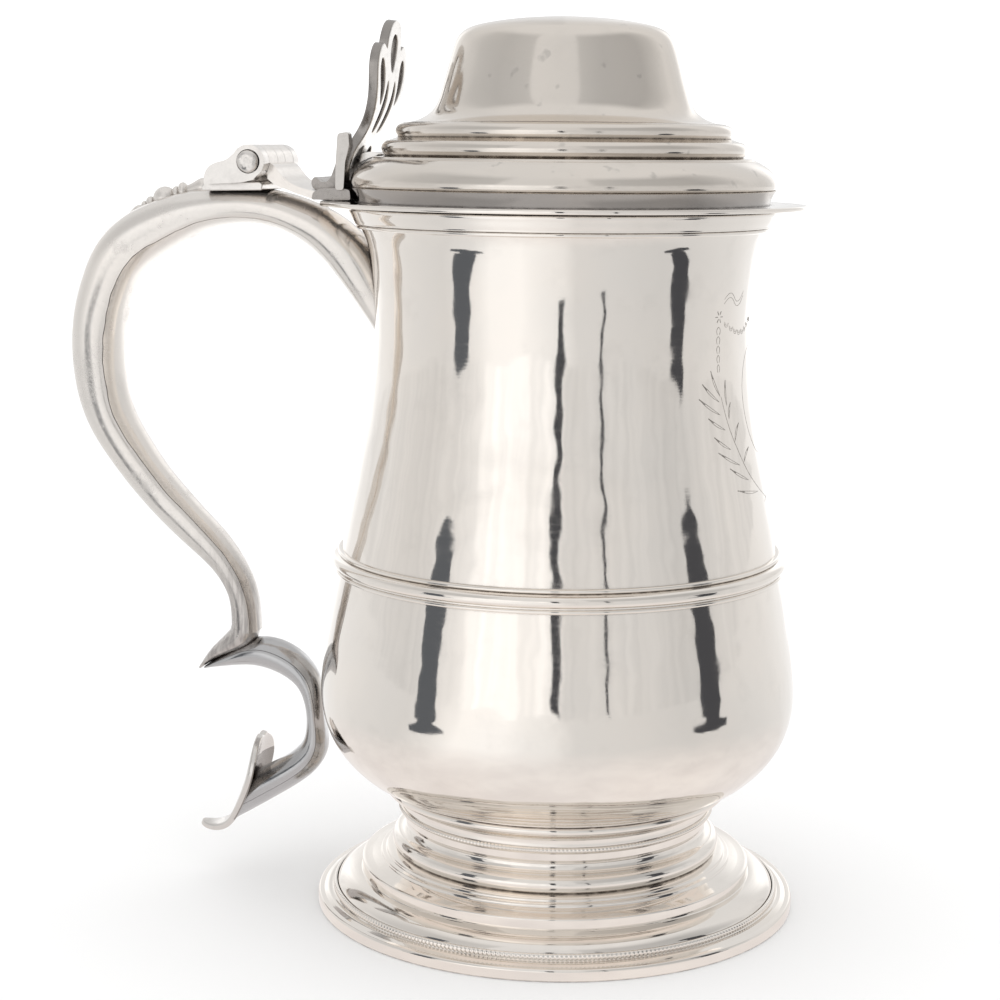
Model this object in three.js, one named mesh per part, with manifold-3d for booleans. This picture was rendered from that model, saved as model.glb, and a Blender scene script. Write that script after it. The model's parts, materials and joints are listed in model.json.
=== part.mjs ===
// A lidded baluster tankard in polished pewter: raised body, spreading foot, hinged dome lid,
// openwork thumbpiece and a hollow double-scroll handle.
// Millimetres, +Z up. Everything is drawn round the body's axis, with the handle towards -X,
// and the finished group is then centred on its own box.
import * as THREE from "three";
import { mergeVertices } from "three/addons/utils/BufferGeometryUtils.js";
import { TessellateModifier } from "three/addons/modifiers/TessellateModifier.js";
import Module from "manifold-3d";

const wasm = await Module();
wasm.setup();

// ---------------------------------------------------------------- driving dimensions
const GAP = 0.3; // between separate pieces that are soldered or rest on each other
const ROUND = 32; // sides of a turned piece
const WALL = 1.5; // body wall

const RIM_RADIUS = 57.8; // foot rim, the widest turned piece
const RIM_HEIGHT = 2.9;
const FOOT_WALL = 1.6;
const FOOT_TOP = 19.6; // where the turned collar begins
const BODY_BOTTOM = 28; // outside of the bowl, on the axis
const BODY_TOP = 167.4;
const MOUTH_OUTER = 48.2;
const BAND_BOTTOM = 81.8;
const BAND_TOP = 87.2;

const FLANGE_RADIUS = 56.7;
const FLANGE_INNER = 45.7;
const FLANGE_BOTTOM = 167.7;
const FLANGE_TOP = 168.7;
const LID_WALL = 1.3;
const BEZEL_RADIUS = 45.4;
const BEZEL_WALL = 1.4;
const BEZEL_BOTTOM = 164.2;
const LID_TOP = 211.2;

const HINGE_X = -72;
const HINGE_Z = 177.6;
const KNUCKLE_RADIUS = 3.9;
const PIN_RADIUS = 1.5;
const PIN_CLEARANCE = 0.15;
const PIN_HEAD_RADIUS = 2.55;
const PIN_HEAD_LENGTH = 1.2;
const BARREL_HALF = 14.5; // half the length of the hinge barrel
const END_KNUCKLE = 4.1; // length of each outer knuckle
const MID_KNUCKLE_HALF = 3;

const HANDLE_WALL = 0.16; // of the half section
const HANDLE_STEPS = 30; // divisions along the upper scroll
const LOWER_BORE = 0.72; // of the lower scroll's half section
const LOWER_STEPS = 20; // divisions along the lower scroll
const SEAM_ANGLE = 28; // below the widest part of the section, where shell and strip meet
const THUMB_THICKNESS = 2.3;
const PLATE_THICKNESS = 1.6; // terminal plate

const SILVER = 0xc9c5c1;
const SHADED = 0x9d9a97;

// ---------------------------------------------------------------- helpers
function solidOf(geometry) {
  const bare = geometry.index ? geometry.toNonIndexed() : geometry.clone();
  bare.deleteAttribute("normal");
  bare.deleteAttribute("uv");
  const merged = mergeVertices(bare, 1e-4);
  return new wasm.Manifold(
    new wasm.Mesh({
      numProp: 3,
      vertProperties: merged.attributes.position.array,
      triVerts: new Uint32Array(merged.index.array),
    }),
  );
}

function geometryOf(solid) {
  const mesh = solid.getMesh();
  const geometry = new THREE.BufferGeometry();
  geometry.setAttribute("position", new THREE.BufferAttribute(mesh.vertProperties, 3));
  geometry.setIndex(new THREE.BufferAttribute(mesh.triVerts, 1));
  geometry.computeVertexNormals();
  return geometry;
}

function mesh(name, geometry, colour = SILVER, roughness = 0.14) {
  const material = new THREE.MeshStandardMaterial({ color: colour, roughness, metalness: 1 });
  const piece = new THREE.Mesh(geometry, material);
  piece.name = name;
  return piece;
}

// A smooth curve through [a, b] pairs, as evenly spaced pairs.
function smooth(pairs, steps) {
  const curve = new THREE.SplineCurve(pairs.map(([a, b]) => new THREE.Vector2(a, b)));
  return curve.getPoints(steps).map((p) => [p.x, p.y]);
}

// A stretch of circle in a radius-height profile; angles in degrees from +radius towards +height.
function arc(radius, height, size, from, to, steps) {
  return Array.from({ length: steps + 1 }, (_, i) => {
    const angle = THREE.MathUtils.degToRad(from + ((to - from) * i) / steps);
    return [radius + size * Math.cos(angle), height + size * Math.sin(angle)];
  });
}

// A turned piece. The profile runs up its outside and back down its inside.
function turned(profile, sides = ROUND) {
  const points = profile.map(([r, z]) => new THREE.Vector2(Math.max(r, 0), z));
  if (profile[0][0] > 0 || profile.at(-1)[0] > 0) points.push(points[0].clone());
  return new THREE.LatheGeometry(points, sides).rotateX(Math.PI / 2);
}

// The profile moved sideways by a distance, for the inside of a wall or a cutter's outside.
function offset(profile, distance) {
  return profile.map(([r, z], i) => {
    const [r0, z0] = profile[Math.max(i - 1, 0)];
    const [r1, z1] = profile[Math.min(i + 1, profile.length - 1)];
    const length = Math.hypot(r1 - r0, z1 - z0);
    return [r + (distance * (z1 - z0)) / length, z - (distance * (r1 - r0)) / length];
  });
}

// A plate cut to a side outline of [x, z] pairs, from y0 to y1.
function sidePlate(outline, y0, y1, hole) {
  const shape = new THREE.Shape(outline.map(([x, z]) => new THREE.Vector2(x, z)));
  if (hole) shape.holes.push(new THREE.Path(hole.map(([x, z]) => new THREE.Vector2(x, z))));
  const geometry = new THREE.ExtrudeGeometry(shape, { depth: y1 - y0, bevelEnabled: false });
  return geometry.rotateX(Math.PI / 2).translate(0, y1, 0);
}

// A straight bar of a unit section, bent along a spine in the XZ plane and scaled as it goes.
// stations: [x, z, half width along Y, half thickness in the plane] along the spine.
// The section's +y lies on the right of the spine's travel.
function bentBar(section, stations, steps) {
  const spine = new THREE.SplineCurve(stations.map(([x, z]) => new THREE.Vector2(x, z)));
  const sizes = new THREE.SplineCurve(stations.map(([, , w, h]) => new THREE.Vector2(w, h)));
  const bar = new THREE.ExtrudeGeometry(section, {
    depth: 1, steps, bevelEnabled: false, curveSegments: 12,
  });
  const position = bar.attributes.position;
  for (let i = 0; i < position.count; i++) {
    const t = THREE.MathUtils.clamp(position.getZ(i), 0, 1);
    const at = spine.getPoint(t);
    const along = spine.getTangent(t);
    const size = sizes.getPoint(t);
    const out = position.getY(i) * size.y;
    position.setXYZ(i, at.x + along.y * out, -position.getX(i) * size.x, at.y - along.x * out);
  }
  return bar;
}

// A flat plate outline in y and distance along the spine, given thickness and bent to the
// spine of [x, z] pairs. Its faces are divided first, so that they can follow the bend.
function bentPlate(shape, thickness, spine, longestEdge) {
  const flat = new THREE.ExtrudeGeometry(shape, {
    depth: thickness, bevelEnabled: false, curveSegments: 5,
  }).translate(0, 0, -thickness / 2);
  const fine = new TessellateModifier(longestEdge, 10).modify(flat);
  const curve = new THREE.SplineCurve(spine.map(([x, z]) => new THREE.Vector2(x, z)));
  const length = curve.getLength();
  const position = fine.attributes.position;
  for (let i = 0; i < position.count; i++) {
    const t = THREE.MathUtils.clamp(position.getY(i) / length, 0, 1);
    const at = curve.getPointAt(t);
    const along = curve.getTangentAt(t);
    const out = position.getZ(i);
    position.setXYZ(i, at.x + along.y * out, position.getX(i), at.y - along.x * out);
  }
  return fine;
}

// A closed smooth outline through [y, height] pairs.
function smoothShape(pairs) {
  const points = pairs.map(([y, s]) => new THREE.Vector2(y, s));
  return new THREE.Shape(smoothLoop(points));
}

function smoothLoop(points) {
  const loop = new THREE.CatmullRomCurve3(
    points.map((p) => new THREE.Vector3(p.x, p.y, 0)), true, "catmullrom", 0.5,
  );
  const fine = loop.getPoints(Math.round(points.length * 1.5)).slice(0, -1);
  return fine.map((p) => new THREE.Vector2(p.x, p.y));
}

// The same pairs on the other side of y = 0, taken backwards so that an outline goes on round.
function mirrored(pairs) {
  return pairs.map(([y, s]) => [-y, s]).reverse();
}

// ---------------------------------------------------------------- vessel
// Outside of the raised body: bowl, belly, waist and the flare below the lip, [radius, height].
const BODY_OUTSIDE = smooth(
  [
    [0, BODY_BOTTOM], [20, 28.1], [34, 28.6], [40.2, 30], [46, 32.6], [51.6, 38], [55, 43.6],
    [56.5, 49], [56.8, 54], [56.2, 61], [54.6, 69], [53.5, 75], [52.4, 83.5], [51.2, 89.5],
    [49.6, 97.2], [48.4, 104.8], [46.7, 112.5], [45.4, 120.3], [44.5, 128], [44.1, 139],
    [44.3, 149.7], [45.1, 157.2], [46.6, 161.5], [MOUTH_OUTER, 164],
  ],
  23,
);

// The radius of a rising profile at a height.
function radiusAt(profile, height) {
  const above = profile.findIndex(([, z], i) => i > 0 && z >= height);
  const [r0, z0] = profile[above - 1];
  const [r1, z1] = profile[above];
  return r0 + ((r1 - r0) * (height - z0)) / (z1 - z0);
}

function bodyShell() {
  const inside = offset(BODY_OUTSIDE.filter((_, i) => i % 2 === 0), -WALL).reverse();
  return turned([
    ...BODY_OUTSIDE,
    [MOUTH_OUTER, BODY_TOP - 0.3],
    [MOUTH_OUTER - 0.3, BODY_TOP],
    [MOUTH_OUTER - WALL, BODY_TOP],
    ...inside,
  ]);
}

// The moulding soldered round the mouth, which the lid's flange comes down on.
function lipMoulding() {
  const inner = MOUTH_OUTER + GAP;
  return turned([
    [inner, 163.7], [48.9, 163.8], [49.5, 165], [49.9, 166.2], [50, 166.7], [49.8, 167.1],
    [49.2, 167.4], [inner, 167.4],
  ]);
}

// Three reeds on one strip: a wide one between two narrow ones.
function midBand() {
  const outline = [
    ...arc(52.9, BAND_BOTTOM + 0.5, 0.5, -90, 60, 2),
    ...arc(52.9, (BAND_BOTTOM + BAND_TOP) / 2, 1.4, -80, 80, 4),
    ...arc(52.5, BAND_TOP - 0.5, 0.5, -60, 90, 2),
  ];
  const inside = [BAND_TOP, BAND_BOTTOM];
  return turned([...outline, ...inside.map((z) => [radiusAt(BODY_OUTSIDE, z) + GAP, z])]);
}

// ---------------------------------------------------------------- foot
function footCollar() {
  return turned([
    [35.9, FOOT_TOP + GAP], [36.8, 20.8], [36.9, 22.6], [38.4, 23.2], [38.4, 24],
    [37.6, 25.6], [37.8, 27], [40.2, 27.8], [41.1, 28.7], [40.9, 29.6], [35, 28.1], [34.3, 28],
    [34.3, FOOT_TOP + GAP],
  ]);
}

// Neck, torus, stepped shelf and wide ovolo, cast thin and open underneath.
function footShell() {
  const bottom = RIM_HEIGHT + GAP;
  return turned([
    [57.2, bottom], [54.9, 3.6], [53.7, 4.7], [52.3, 6.1], [50, 7.3], [47.1, 8],
    [47.1, 10.4], [44.5, 11.1], [42.2, 11.8], [41.6, 12.8], [39.4, 13.5],
    ...arc(37.7, 15.5, 2.1, -40, 80, 4),
    [36.2, 18.8], [36, FOOT_TOP],
    [36 - FOOT_WALL, FOOT_TOP], [35.8, 16], [37, 12.8], [44.9, 9.2], [45.6, 6.4], [49.8, 5.4],
    [52.4, bottom],
  ]);
}

// The heavy wire that the tankard stands on.
function footRim() {
  return turned([
    [RIM_RADIUS, 0], [RIM_RADIUS, 2.4], [RIM_RADIUS - 0.4, RIM_HEIGHT], [52.4, RIM_HEIGHT],
    [52.4, 1.6], [54.4, 0],
  ]);
}

// ---------------------------------------------------------------- lid
function lidCover() {
  const base = FLANGE_TOP + GAP;
  return turned([
    [48, base], [49.5, 172], [49.5, 173], [48.9, 175.1], [47.2, 177.2], [44.9, 178.5],
    [43.2, 179.1], ...arc(40.6, 181, 1.85, -75, 75, 3), ...arc(37.4, 184.9, 1.8, -65, 75, 3),
    [34.9, 187.2], [32.2, 188.4], [30, 190.4], [28.6, 193.6], [26.8, 199.6], [25, 205.4],
    [23.4, 207.7], [18.5, 209.5], [11, 210.7], [0, LID_TOP],
    [0, LID_TOP - LID_WALL], [11, 209.3], [18.5, 208.1], [22.2, 206.4], [25.2, 199],
    [27.4, 192], [30.4, 187.4], [35.8, 185.3], [36.6, 181.6], [39.6, 180.4], [40.2, 177.8],
    [45.6, 175.8], [48, 172.5], [46.6, base],
  ]);
}

function lidFlange() {
  return turned([
    [FLANGE_RADIUS, FLANGE_BOTTOM + 0.2], [FLANGE_RADIUS, FLANGE_TOP - 0.2],
    [FLANGE_RADIUS - 0.2, FLANGE_TOP], [FLANGE_INNER, FLANGE_TOP],
    [FLANGE_INNER, FLANGE_BOTTOM], [FLANGE_RADIUS - 0.2, FLANGE_BOTTOM],
  ]);
}

// The ring inside the mouth that keeps the lid in place.
function lidBezel() {
  const inner = BEZEL_RADIUS - BEZEL_WALL;
  return turned([
    [BEZEL_RADIUS - 0.4, BEZEL_BOTTOM], [BEZEL_RADIUS, BEZEL_BOTTOM + 0.6],
    [BEZEL_RADIUS, FLANGE_TOP], [inner, FLANGE_TOP], [inner, BEZEL_BOTTOM],
  ]);
}

// ---------------------------------------------------------------- hinge
function lobeArc(from, to, steps) {
  return arc(HINGE_X, HINGE_Z, KNUCKLE_RADIUS, from, to, steps);
}

function pinHole() {
  return arc(HINGE_X, HINGE_Z, PIN_RADIUS + PIN_CLEARANCE, 0, 345, 23);
}

// An outer knuckle, with the foot that stands on the handle's back.
function endKnuckle(side) {
  const outline = [
    [HINGE_X - 10.6, 172.1], [HINGE_X + 1, 173.2], [HINGE_X + 2.4, 174.2],
    ...lobeArc(-40, 165, 12),
    [HINGE_X - 7.6, 177.5], [HINGE_X - 9.5, 176.5], [HINGE_X - 10.5, 174.8],
  ];
  const inner = BARREL_HALF - END_KNUCKLE;
  return side < 0
    ? sidePlate(outline, -BARREL_HALF, -inner, pinHole())
    : sidePlate(outline, inner, BARREL_HALF, pinHole());
}

function middleKnuckle() {
  const outline = [
    [HINGE_X - 3.4, 173.3], [HINGE_X + 3, 173.3], ...lobeArc(-35, 215, 14),
  ];
  return sidePlate(outline, -MID_KNUCKLE_HALF, MID_KNUCKLE_HALF, pinHole());
}

function lidKnuckle(side) {
  const near = MID_KNUCKLE_HALF + GAP;
  const far = BARREL_HALF - END_KNUCKLE - GAP;
  const ring = lobeArc(0, 345, 23);
  return side < 0 ? sidePlate(ring, -far, -near, pinHole()) : sidePlate(ring, near, far, pinHole());
}

// The wire through the knuckles, hammered out into a head at each end.
function hingePin() {
  const end = BARREL_HALF + GAP;
  const tip = end + PIN_HEAD_LENGTH;
  const half = [
    [PIN_RADIUS, end], [PIN_HEAD_RADIUS, end], [PIN_HEAD_RADIUS, tip - 0.4],
    [PIN_HEAD_RADIUS - 0.4, tip], [0, tip],
  ];
  const profile = [...half.map(([r, y]) => [r, -y]).reverse(), ...half];
  const points = profile.map(([r, y]) => new THREE.Vector2(r, y));
  return new THREE.LatheGeometry(points, 24).translate(HINGE_X, 0, HINGE_Z);
}

// The plate on the handle's back that carries the fixed knuckles.
function hingeStrap() {
  const halfWidth = BARREL_HALF - END_KNUCKLE - GAP;
  const outline = [
    [HINGE_X - 12.4, 171.9], [HINGE_X + 2.2, 171.9], [HINGE_X + 2.2, 172.9],
    [HINGE_X - 11.6, 172.9],
  ];
  return sidePlate(outline, -halfWidth, halfWidth);
}

// The arm soldered to the flange, sweeping up to the two moving knuckles.
function lidHingeArm() {
  const halfWidth = BARREL_HALF - END_KNUCKLE - GAP;
  const root = HINGE_X + KNUCKLE_RADIUS + GAP;
  const base = FLANGE_TOP + GAP;
  const outline = [
    [root, 172.2], [-65, 171.4], [-61.8, 170.3], [-57.3, base], [-50.4, base], [-50.4, 170.6],
    [-58.2, 170.9], [-61.7, 171.8], [-64.1, 173.1], [-65.7, 174.9], [-66.6, 176.6], [root, 177.1],
  ];
  return sidePlate(outline, -halfWidth, halfWidth);
}

// ---------------------------------------------------------------- thumbpiece
// Seen from the side: up from the arm, forward over the lid, then upright to the tip.
const THUMB_SPINE = [
  [-51.35, 171], [-50.9, 173.5], [-50.3, 176.3], [-49.4, 179.3], [-47.9, 182.3], [-46.4, 184.8],
  [-44.3, 188.5], [-42.8, 192.5], [-42.2, 196], [-42, 200], [-41.7, 203.5], [-41.2, 207],
  [-40.7, 211],
];

function thumbpieceShape() {
  const half = [
    [7, 0.1], [10.4, 0.9], [12.2, 4.2], [11.8, 8], [10.2, 11.4], [7.8, 13.2], [7.4, 15.6],
    [8.8, 19], [11.4, 23.4], [13.4, 27.6], [14, 31.4], [13.2, 34.6], [11, 36.2], [8.4, 35.8],
    [6.6, 34.8], [6.2, 37], [5, 39.8], [2.6, 41.4],
  ];
  const shape = smoothShape([...half, ...mirrored(half)]);
  const centre = [[0, 30.4], [2, 33.6], [2.3, 37], [0, 38.8], [-2.3, 37], [-2, 33.6]];
  const side = [[6.6, 22.4], [9.6, 26.4], [10.6, 31.6], [8.6, 33], [6.6, 29]];
  const slot = [[1.6, 16], [4, 16.8], [5, 23], [3.4, 29], [1.9, 23]];
  const low = [[2, 3], [7.4, 4.2], [7.4, 8.6], [2, 11.4]];
  const holes = [centre, side, mirrored(side), slot, mirrored(slot), low, mirrored(low)];
  for (const hole of holes)
    shape.holes.push(new THREE.Path(smoothLoop(hole.map(([y, s]) => new THREE.Vector2(y, s)))));
  return shape;
}

function thumbpiece() {
  return bentPlate(thumbpieceShape(), THUMB_THICKNESS, THUMB_SPINE, 4.4);
}

// The scroll that props the thumbpiece from behind.
function thumbpieceBracket() {
  return sidePlate(
    [
      [-53, 171.2], [-58.3, 171.2], [-58.9, 172.4], [-58.5, 173.8], [-57.7, 174.1],
      [-57.4, 173.2], [-56.4, 172.6], [-55, 172.9], [-54, 174.2], [-53.3, 176.4],
      [-52.3, 178.8], [-51.5, 180.2], [-51.2, 179.6], [-51.9, 177.2], [-52.5, 174.2],
    ].reverse(),
    -7, 7,
  );
}

// The strap from the thumbpiece's front, over the lid's bulge.
function thumbpieceTail() {
  return sidePlate(
    [
      [-47.5, 177.5], [-45.8, 178.9], [-44.9, 179.2], [-43.6, 179.4], [-43.9, 180],
      [-46.2, 180], [-47.3, 179.4], [-48, 178.3],
    ],
    -4, 4,
  );
}

// ---------------------------------------------------------------- handle
// Centre line of the hollow upper scroll, from the body down to the break.
const UPPER_SCROLL = [
  [-42.2, 138.4, 6, 3.4], [-44.9, 145.6, 8, 4.4], [-48, 151.6, 9, 5.1], [-52.2, 156.8, 9, 5.2],
  [-57.4, 161, 9, 4.9], [-62.6, 163.8, 9, 4.6], [-69, 166.2, 9, 4.4], [-77, 167, 8.9, 4.4],
  [-85, 166.2, 8.8, 4.9], [-91.7, 164.3, 8.6, 5.6], [-98.3, 161.3, 8.5, 6.2], [-104.5, 157.6, 8.4, 6.4],
  [-109, 152.6, 8.3, 6.3], [-111.8, 147.5, 8.2, 6.2], [-113.53, 141.5, 8.1, 6.1],
  [-115.03, 132, 8, 6.1], [-113.83, 121, 7.8, 5.7], [-111.8, 114, 7.5, 5.3],
  [-108.3, 108.4, 7.2, 5], [-101.4, 99.2, 6.8, 4.7], [-93.8, 91.2, 6.5, 4.5],
  [-86, 84.2, 6.2, 4], [-81.6, 79, 5.9, 3.5], [-78.9, 73, 5.6, 3.1], [-78.2, 68, 5.5, 3.1],
  [-78.2, 63.8, 5.5, 3.3],
];

// The section's outer shell, open towards the hand; unit half width and half thickness.
function backSection() {
  const outer = arc(0, 0, 1, -SEAM_ANGLE, 180 + SEAM_ANGLE, 9);
  const inner = arc(0, 0, 1 - HANDLE_WALL, 180 + SEAM_ANGLE, -SEAM_ANGLE, 5);
  return new THREE.Shape([...outer, ...inner].map(([x, y]) => new THREE.Vector2(x, y)));
}

// The strip that closes the section on the inside, slightly rounded.
function stripSection() {
  const seam = THREE.MathUtils.degToRad(SEAM_ANGLE);
  const halfWidth = Math.cos(seam);
  const height = -Math.sin(seam) - 0.06;
  const bulge = 1 + height;
  const curve = (depth, from, to) =>
    Array.from({ length: 5 }, (_, i) => {
      const u = from + ((to - from) * i) / 4;
      return new THREE.Vector2(u * halfWidth, height - depth * (1 - u * u));
    });
  const outer = curve(bulge, -1, 1);
  const inner = curve(bulge - 0.2, 1, -1).slice(1, -1);
  return new THREE.Shape([...outer, ...inner]);
}

function solidSection() {
  return new THREE.Shape(arc(0, 0, 1, 0, 330, 11).map(([x, y]) => new THREE.Vector2(x, y)));
}

// A scroll's stations made a gap larger all round, for cutting its neighbours back.
function grown(stations) {
  return stations.map(([x, z, w, h]) => [x, z, w + GAP, h + GAP]);
}

// The body's outside, grown by a gap: what the handle's ends are cut back by.
function bodyCutter() {
  const outside = offset(BODY_OUTSIDE, GAP).filter(([, z]) => z > 34);
  return solidOf(turned([[0, 34], ...outside, [MOUTH_OUTER + GAP, BODY_TOP], [0, BODY_TOP]]));
}

const CUTTER = bodyCutter();

function handleBack() {
  return geometryOf(solidOf(bentBar(backSection(), UPPER_SCROLL, HANDLE_STEPS)).subtract(CUTTER));
}

function handleStrip() {
  return geometryOf(solidOf(bentBar(stripSection(), UPPER_SCROLL, HANDLE_STEPS)).subtract(CUTTER));
}

// Centre line of the lower scroll, from under the spur round to the terminal.
const LOWER_SCROLL = [
  [-88.6, 52.7, 2, 0.3], [-84, 54.5, 3.8, 1.5], [-80, 55.9, 4.6, 2.5], [-75, 57.3, 5, 3.8],
  [-70.2, 56.2, 5.2, 3.9], [-65.8, 54, 5.3, 3.7], [-62.4, 50.6, 5.3, 3], [-61, 46, 5.2, 2.2],
  [-60.4, 41.6, 5.1, 2.1], [-60.1, 37.6, 5.1, 2.6], [-60.6, 33.8, 5.2, 3.3],
  [-62.6, 30.6, 5.3, 3.6], [-66, 27.8, 5.4, 3.7], [-70.8, 25, 5.5, 3.9],
  [-76, 22, 5.6, 4.1], [-81.4, 18.8, 5.6, 4.2], [-86, 16.2, 5.6, 4.2],
];
const TERMINAL_SPINE = [
  [-90.6, 12.6], [-88.5, 11.9], [-85.9, 12], [-83.2, 13.1], [-81.3, 15.2], [-79.9, 18], [-78.1, 22.4],
  [-76.5, 27.2], [-75.5, 32], [-74.2, 36.8],
];

// Everything beyond the terminal's inner face, which the lower scroll's end is cut back to.
function terminalCutter() {
  const face = TERMINAL_SPINE.slice(3).map(([x, z]) => [x + PLATE_THICKNESS / 2 + GAP, z]);
  return solidOf(sidePlate([[-110, 8], [-82, 8], ...face, [-110, 37]], -20, 20));
}

// A hollow tube: the terminal plate covers its lower end, and it tapers out under the spur.
function lowerScroll() {
  const shape = solidSection();
  const bore = arc(0, 0, LOWER_BORE, 0, 315, 7);
  shape.holes.push(new THREE.Path(bore.map(([x, y]) => new THREE.Vector2(x, y))));
  const tube = solidOf(bentBar(shape, LOWER_SCROLL, LOWER_STEPS));
  return geometryOf(tube.subtract(CUTTER).subtract(terminalCutter()));
}

// The pointed rest for the heel of the hand, at the break between the two scrolls.
function handleSpur() {
  const spur = bentBar(
    solidSection(),
    [
      [-78.2, 63.3, 5.5, 3.3], [-78.3, 62.2, 5.5, 3.4], [-79.6, 60.6, 5.2, 3.2],
      [-82.5, 58.8, 4.6, 2.3], [-85.4, 57, 3.8, 1.5], [-87.8, 54.9, 2.8, 0.8],
      [-90.2, 52.4, 1.2, 0.3],
    ],
    12,
  );
  const scroll = bentBar(solidSection(), grown(LOWER_SCROLL), LOWER_STEPS);
  return geometryOf(solidOf(spur).subtract(solidOf(scroll)));
}

// The shield-shaped plate that closes the lower scroll, its tip curled outwards.
function handleTerminal() {
  const half = [
    [1.6, 32.4], [3.6, 31], [6, 30.2], [8, 27.4], [8.6, 23.2], [7.6, 18.4], [6.2, 13.8],
    [4.6, 9.1], [2.8, 4.6], [1.2, 1.2],
  ].reverse();
  const shape = smoothShape([...half, [0, 31.2], ...mirrored(half)]);
  return bentPlate(shape, PLATE_THICKNESS, TERMINAL_SPINE, 3.6);
}

// The rat-tail drop below the hinge: ring, ball and beads running down to a point, half sunk
// in the handle's back and bent to it.
function handleDrop() {
  const profile = [
    [0, 0], [2.2, 0.3], [2.6, 2], [1.8, 4.2], [1.4, 5.8], [2.4, 6.3], [2.7, 7.4], [2.3, 8.6],
    [1.8, 9.2], [2.6, 10.2], [3, 11.8], [2.6, 13.4], [1.8, 14.4], [2.1, 15.4], [2, 16.8],
    [1.5, 17.8], [1.7, 18.8], [1.4, 20.4], [1.1, 24], [0, 27.5],
  ];
  const crest = new THREE.SplineCurve(
    [[-86, 171.4], [-93.2, 169.8], [-101.2, 166.7], [-107.6, 162.6], [-111.4, 159]].map(
      ([x, z]) => new THREE.Vector2(x, z),
    ),
  );
  const length = crest.getLength();
  const drop = new THREE.LatheGeometry(profile.map(([r, s]) => new THREE.Vector2(r, s)), 12);
  const position = drop.attributes.position;
  for (let i = 0; i < position.count; i++) {
    const t = THREE.MathUtils.clamp(position.getY(i) / length, 0, 1);
    const at = crest.getPointAt(t);
    const along = crest.getTangentAt(t);
    const out = position.getZ(i);
    position.setXYZ(i, at.x - along.y * out, -position.getX(i), at.y + along.x * out);
  }
  const scroll = bentBar(solidSection(), grown(UPPER_SCROLL), HANDLE_STEPS);
  return geometryOf(solidOf(drop).subtract(solidOf(scroll)));
}

// ---------------------------------------------------------------- assembly
const lid = new THREE.Group();
lid.add(
  mesh("lid_cover", lidCover(), SHADED, 0.18),
  mesh("lid_flange", lidFlange()),
  mesh("lid_bezel", lidBezel()),
  mesh("lid_hinge_arm", lidHingeArm()),
  mesh("lid_knuckle_near", lidKnuckle(-1)),
  mesh("lid_knuckle_far", lidKnuckle(1)),
  mesh("thumbpiece", thumbpiece()),
  mesh("thumbpiece_bracket", thumbpieceBracket(), SHADED),
  mesh("thumbpiece_tail", thumbpieceTail(), SHADED),
);

const vessel = new THREE.Group();
vessel.add(
  mesh("body_shell", bodyShell()),
  mesh("lip_moulding", lipMoulding()),
  mesh("mid_band", midBand()),
  mesh("foot_collar", footCollar()),
  mesh("foot_shell", footShell()),
  mesh("foot_rim", footRim()),
);

const handle = new THREE.Group();
handle.add(
  mesh("handle_back", handleBack()),
  mesh("handle_strip", handleStrip()),
  mesh("handle_spur", handleSpur()),
  mesh("lower_scroll", lowerScroll()),
  mesh("handle_terminal", handleTerminal()),
  mesh("handle_drop", handleDrop(), SHADED),
  mesh("hinge_strap", hingeStrap()),
  mesh("end_knuckle_near", endKnuckle(-1)),
  mesh("end_knuckle_far", endKnuckle(1)),
  mesh("middle_knuckle", middleKnuckle()),
  mesh("hinge_pin", hingePin()),
);

const tankard = new THREE.Group();
tankard.add(vessel, handle, lid);
const box = new THREE.Box3().setFromObject(tankard);
tankard.position.x = -(box.min.x + box.max.x) / 2;

export default tankard;
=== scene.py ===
"""The looks of the lidded pewter tankard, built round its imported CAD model.

Shapes are drawn in millimetres round the body's own axis, with the handle towards -X and the table
at z = 0. Each mesh is moved into the shared frame, in metres, as it is made.
"""
import json
import math

import bmesh
import bpy
import numpy as np
from mathutils import Matrix, Vector, noise
from mathutils.kdtree import KDTree


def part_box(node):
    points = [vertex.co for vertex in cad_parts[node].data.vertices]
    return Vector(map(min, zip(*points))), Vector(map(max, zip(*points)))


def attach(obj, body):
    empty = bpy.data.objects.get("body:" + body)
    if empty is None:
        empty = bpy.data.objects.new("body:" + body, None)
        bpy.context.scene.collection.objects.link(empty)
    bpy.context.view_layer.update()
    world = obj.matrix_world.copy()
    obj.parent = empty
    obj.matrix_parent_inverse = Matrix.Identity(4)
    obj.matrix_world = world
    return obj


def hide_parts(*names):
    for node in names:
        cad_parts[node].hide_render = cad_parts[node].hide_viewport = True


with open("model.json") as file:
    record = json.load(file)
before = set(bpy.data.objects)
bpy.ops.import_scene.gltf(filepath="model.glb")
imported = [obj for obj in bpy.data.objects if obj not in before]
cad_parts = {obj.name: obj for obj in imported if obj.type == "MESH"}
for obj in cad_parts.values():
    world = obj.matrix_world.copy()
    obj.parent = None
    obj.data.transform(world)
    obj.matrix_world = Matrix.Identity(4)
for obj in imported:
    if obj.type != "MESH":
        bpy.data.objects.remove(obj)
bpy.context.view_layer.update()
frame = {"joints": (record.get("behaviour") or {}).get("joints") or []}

# ---- places, from the frame
MM = 0.001


def low(node):
    """A CAD node's lowest corner, in millimetres round the body's axis."""
    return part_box(node)[0] / MM - Vector((AXIS_X, 0, 0))


def high(node):
    """A CAD node's highest corner, in millimetres round the body's axis."""
    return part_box(node)[1] / MM - Vector((AXIS_X, 0, 0))


AXIS_X = 0
AXIS_X = (low("body_shell").x + high("body_shell").x) / 2

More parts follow.
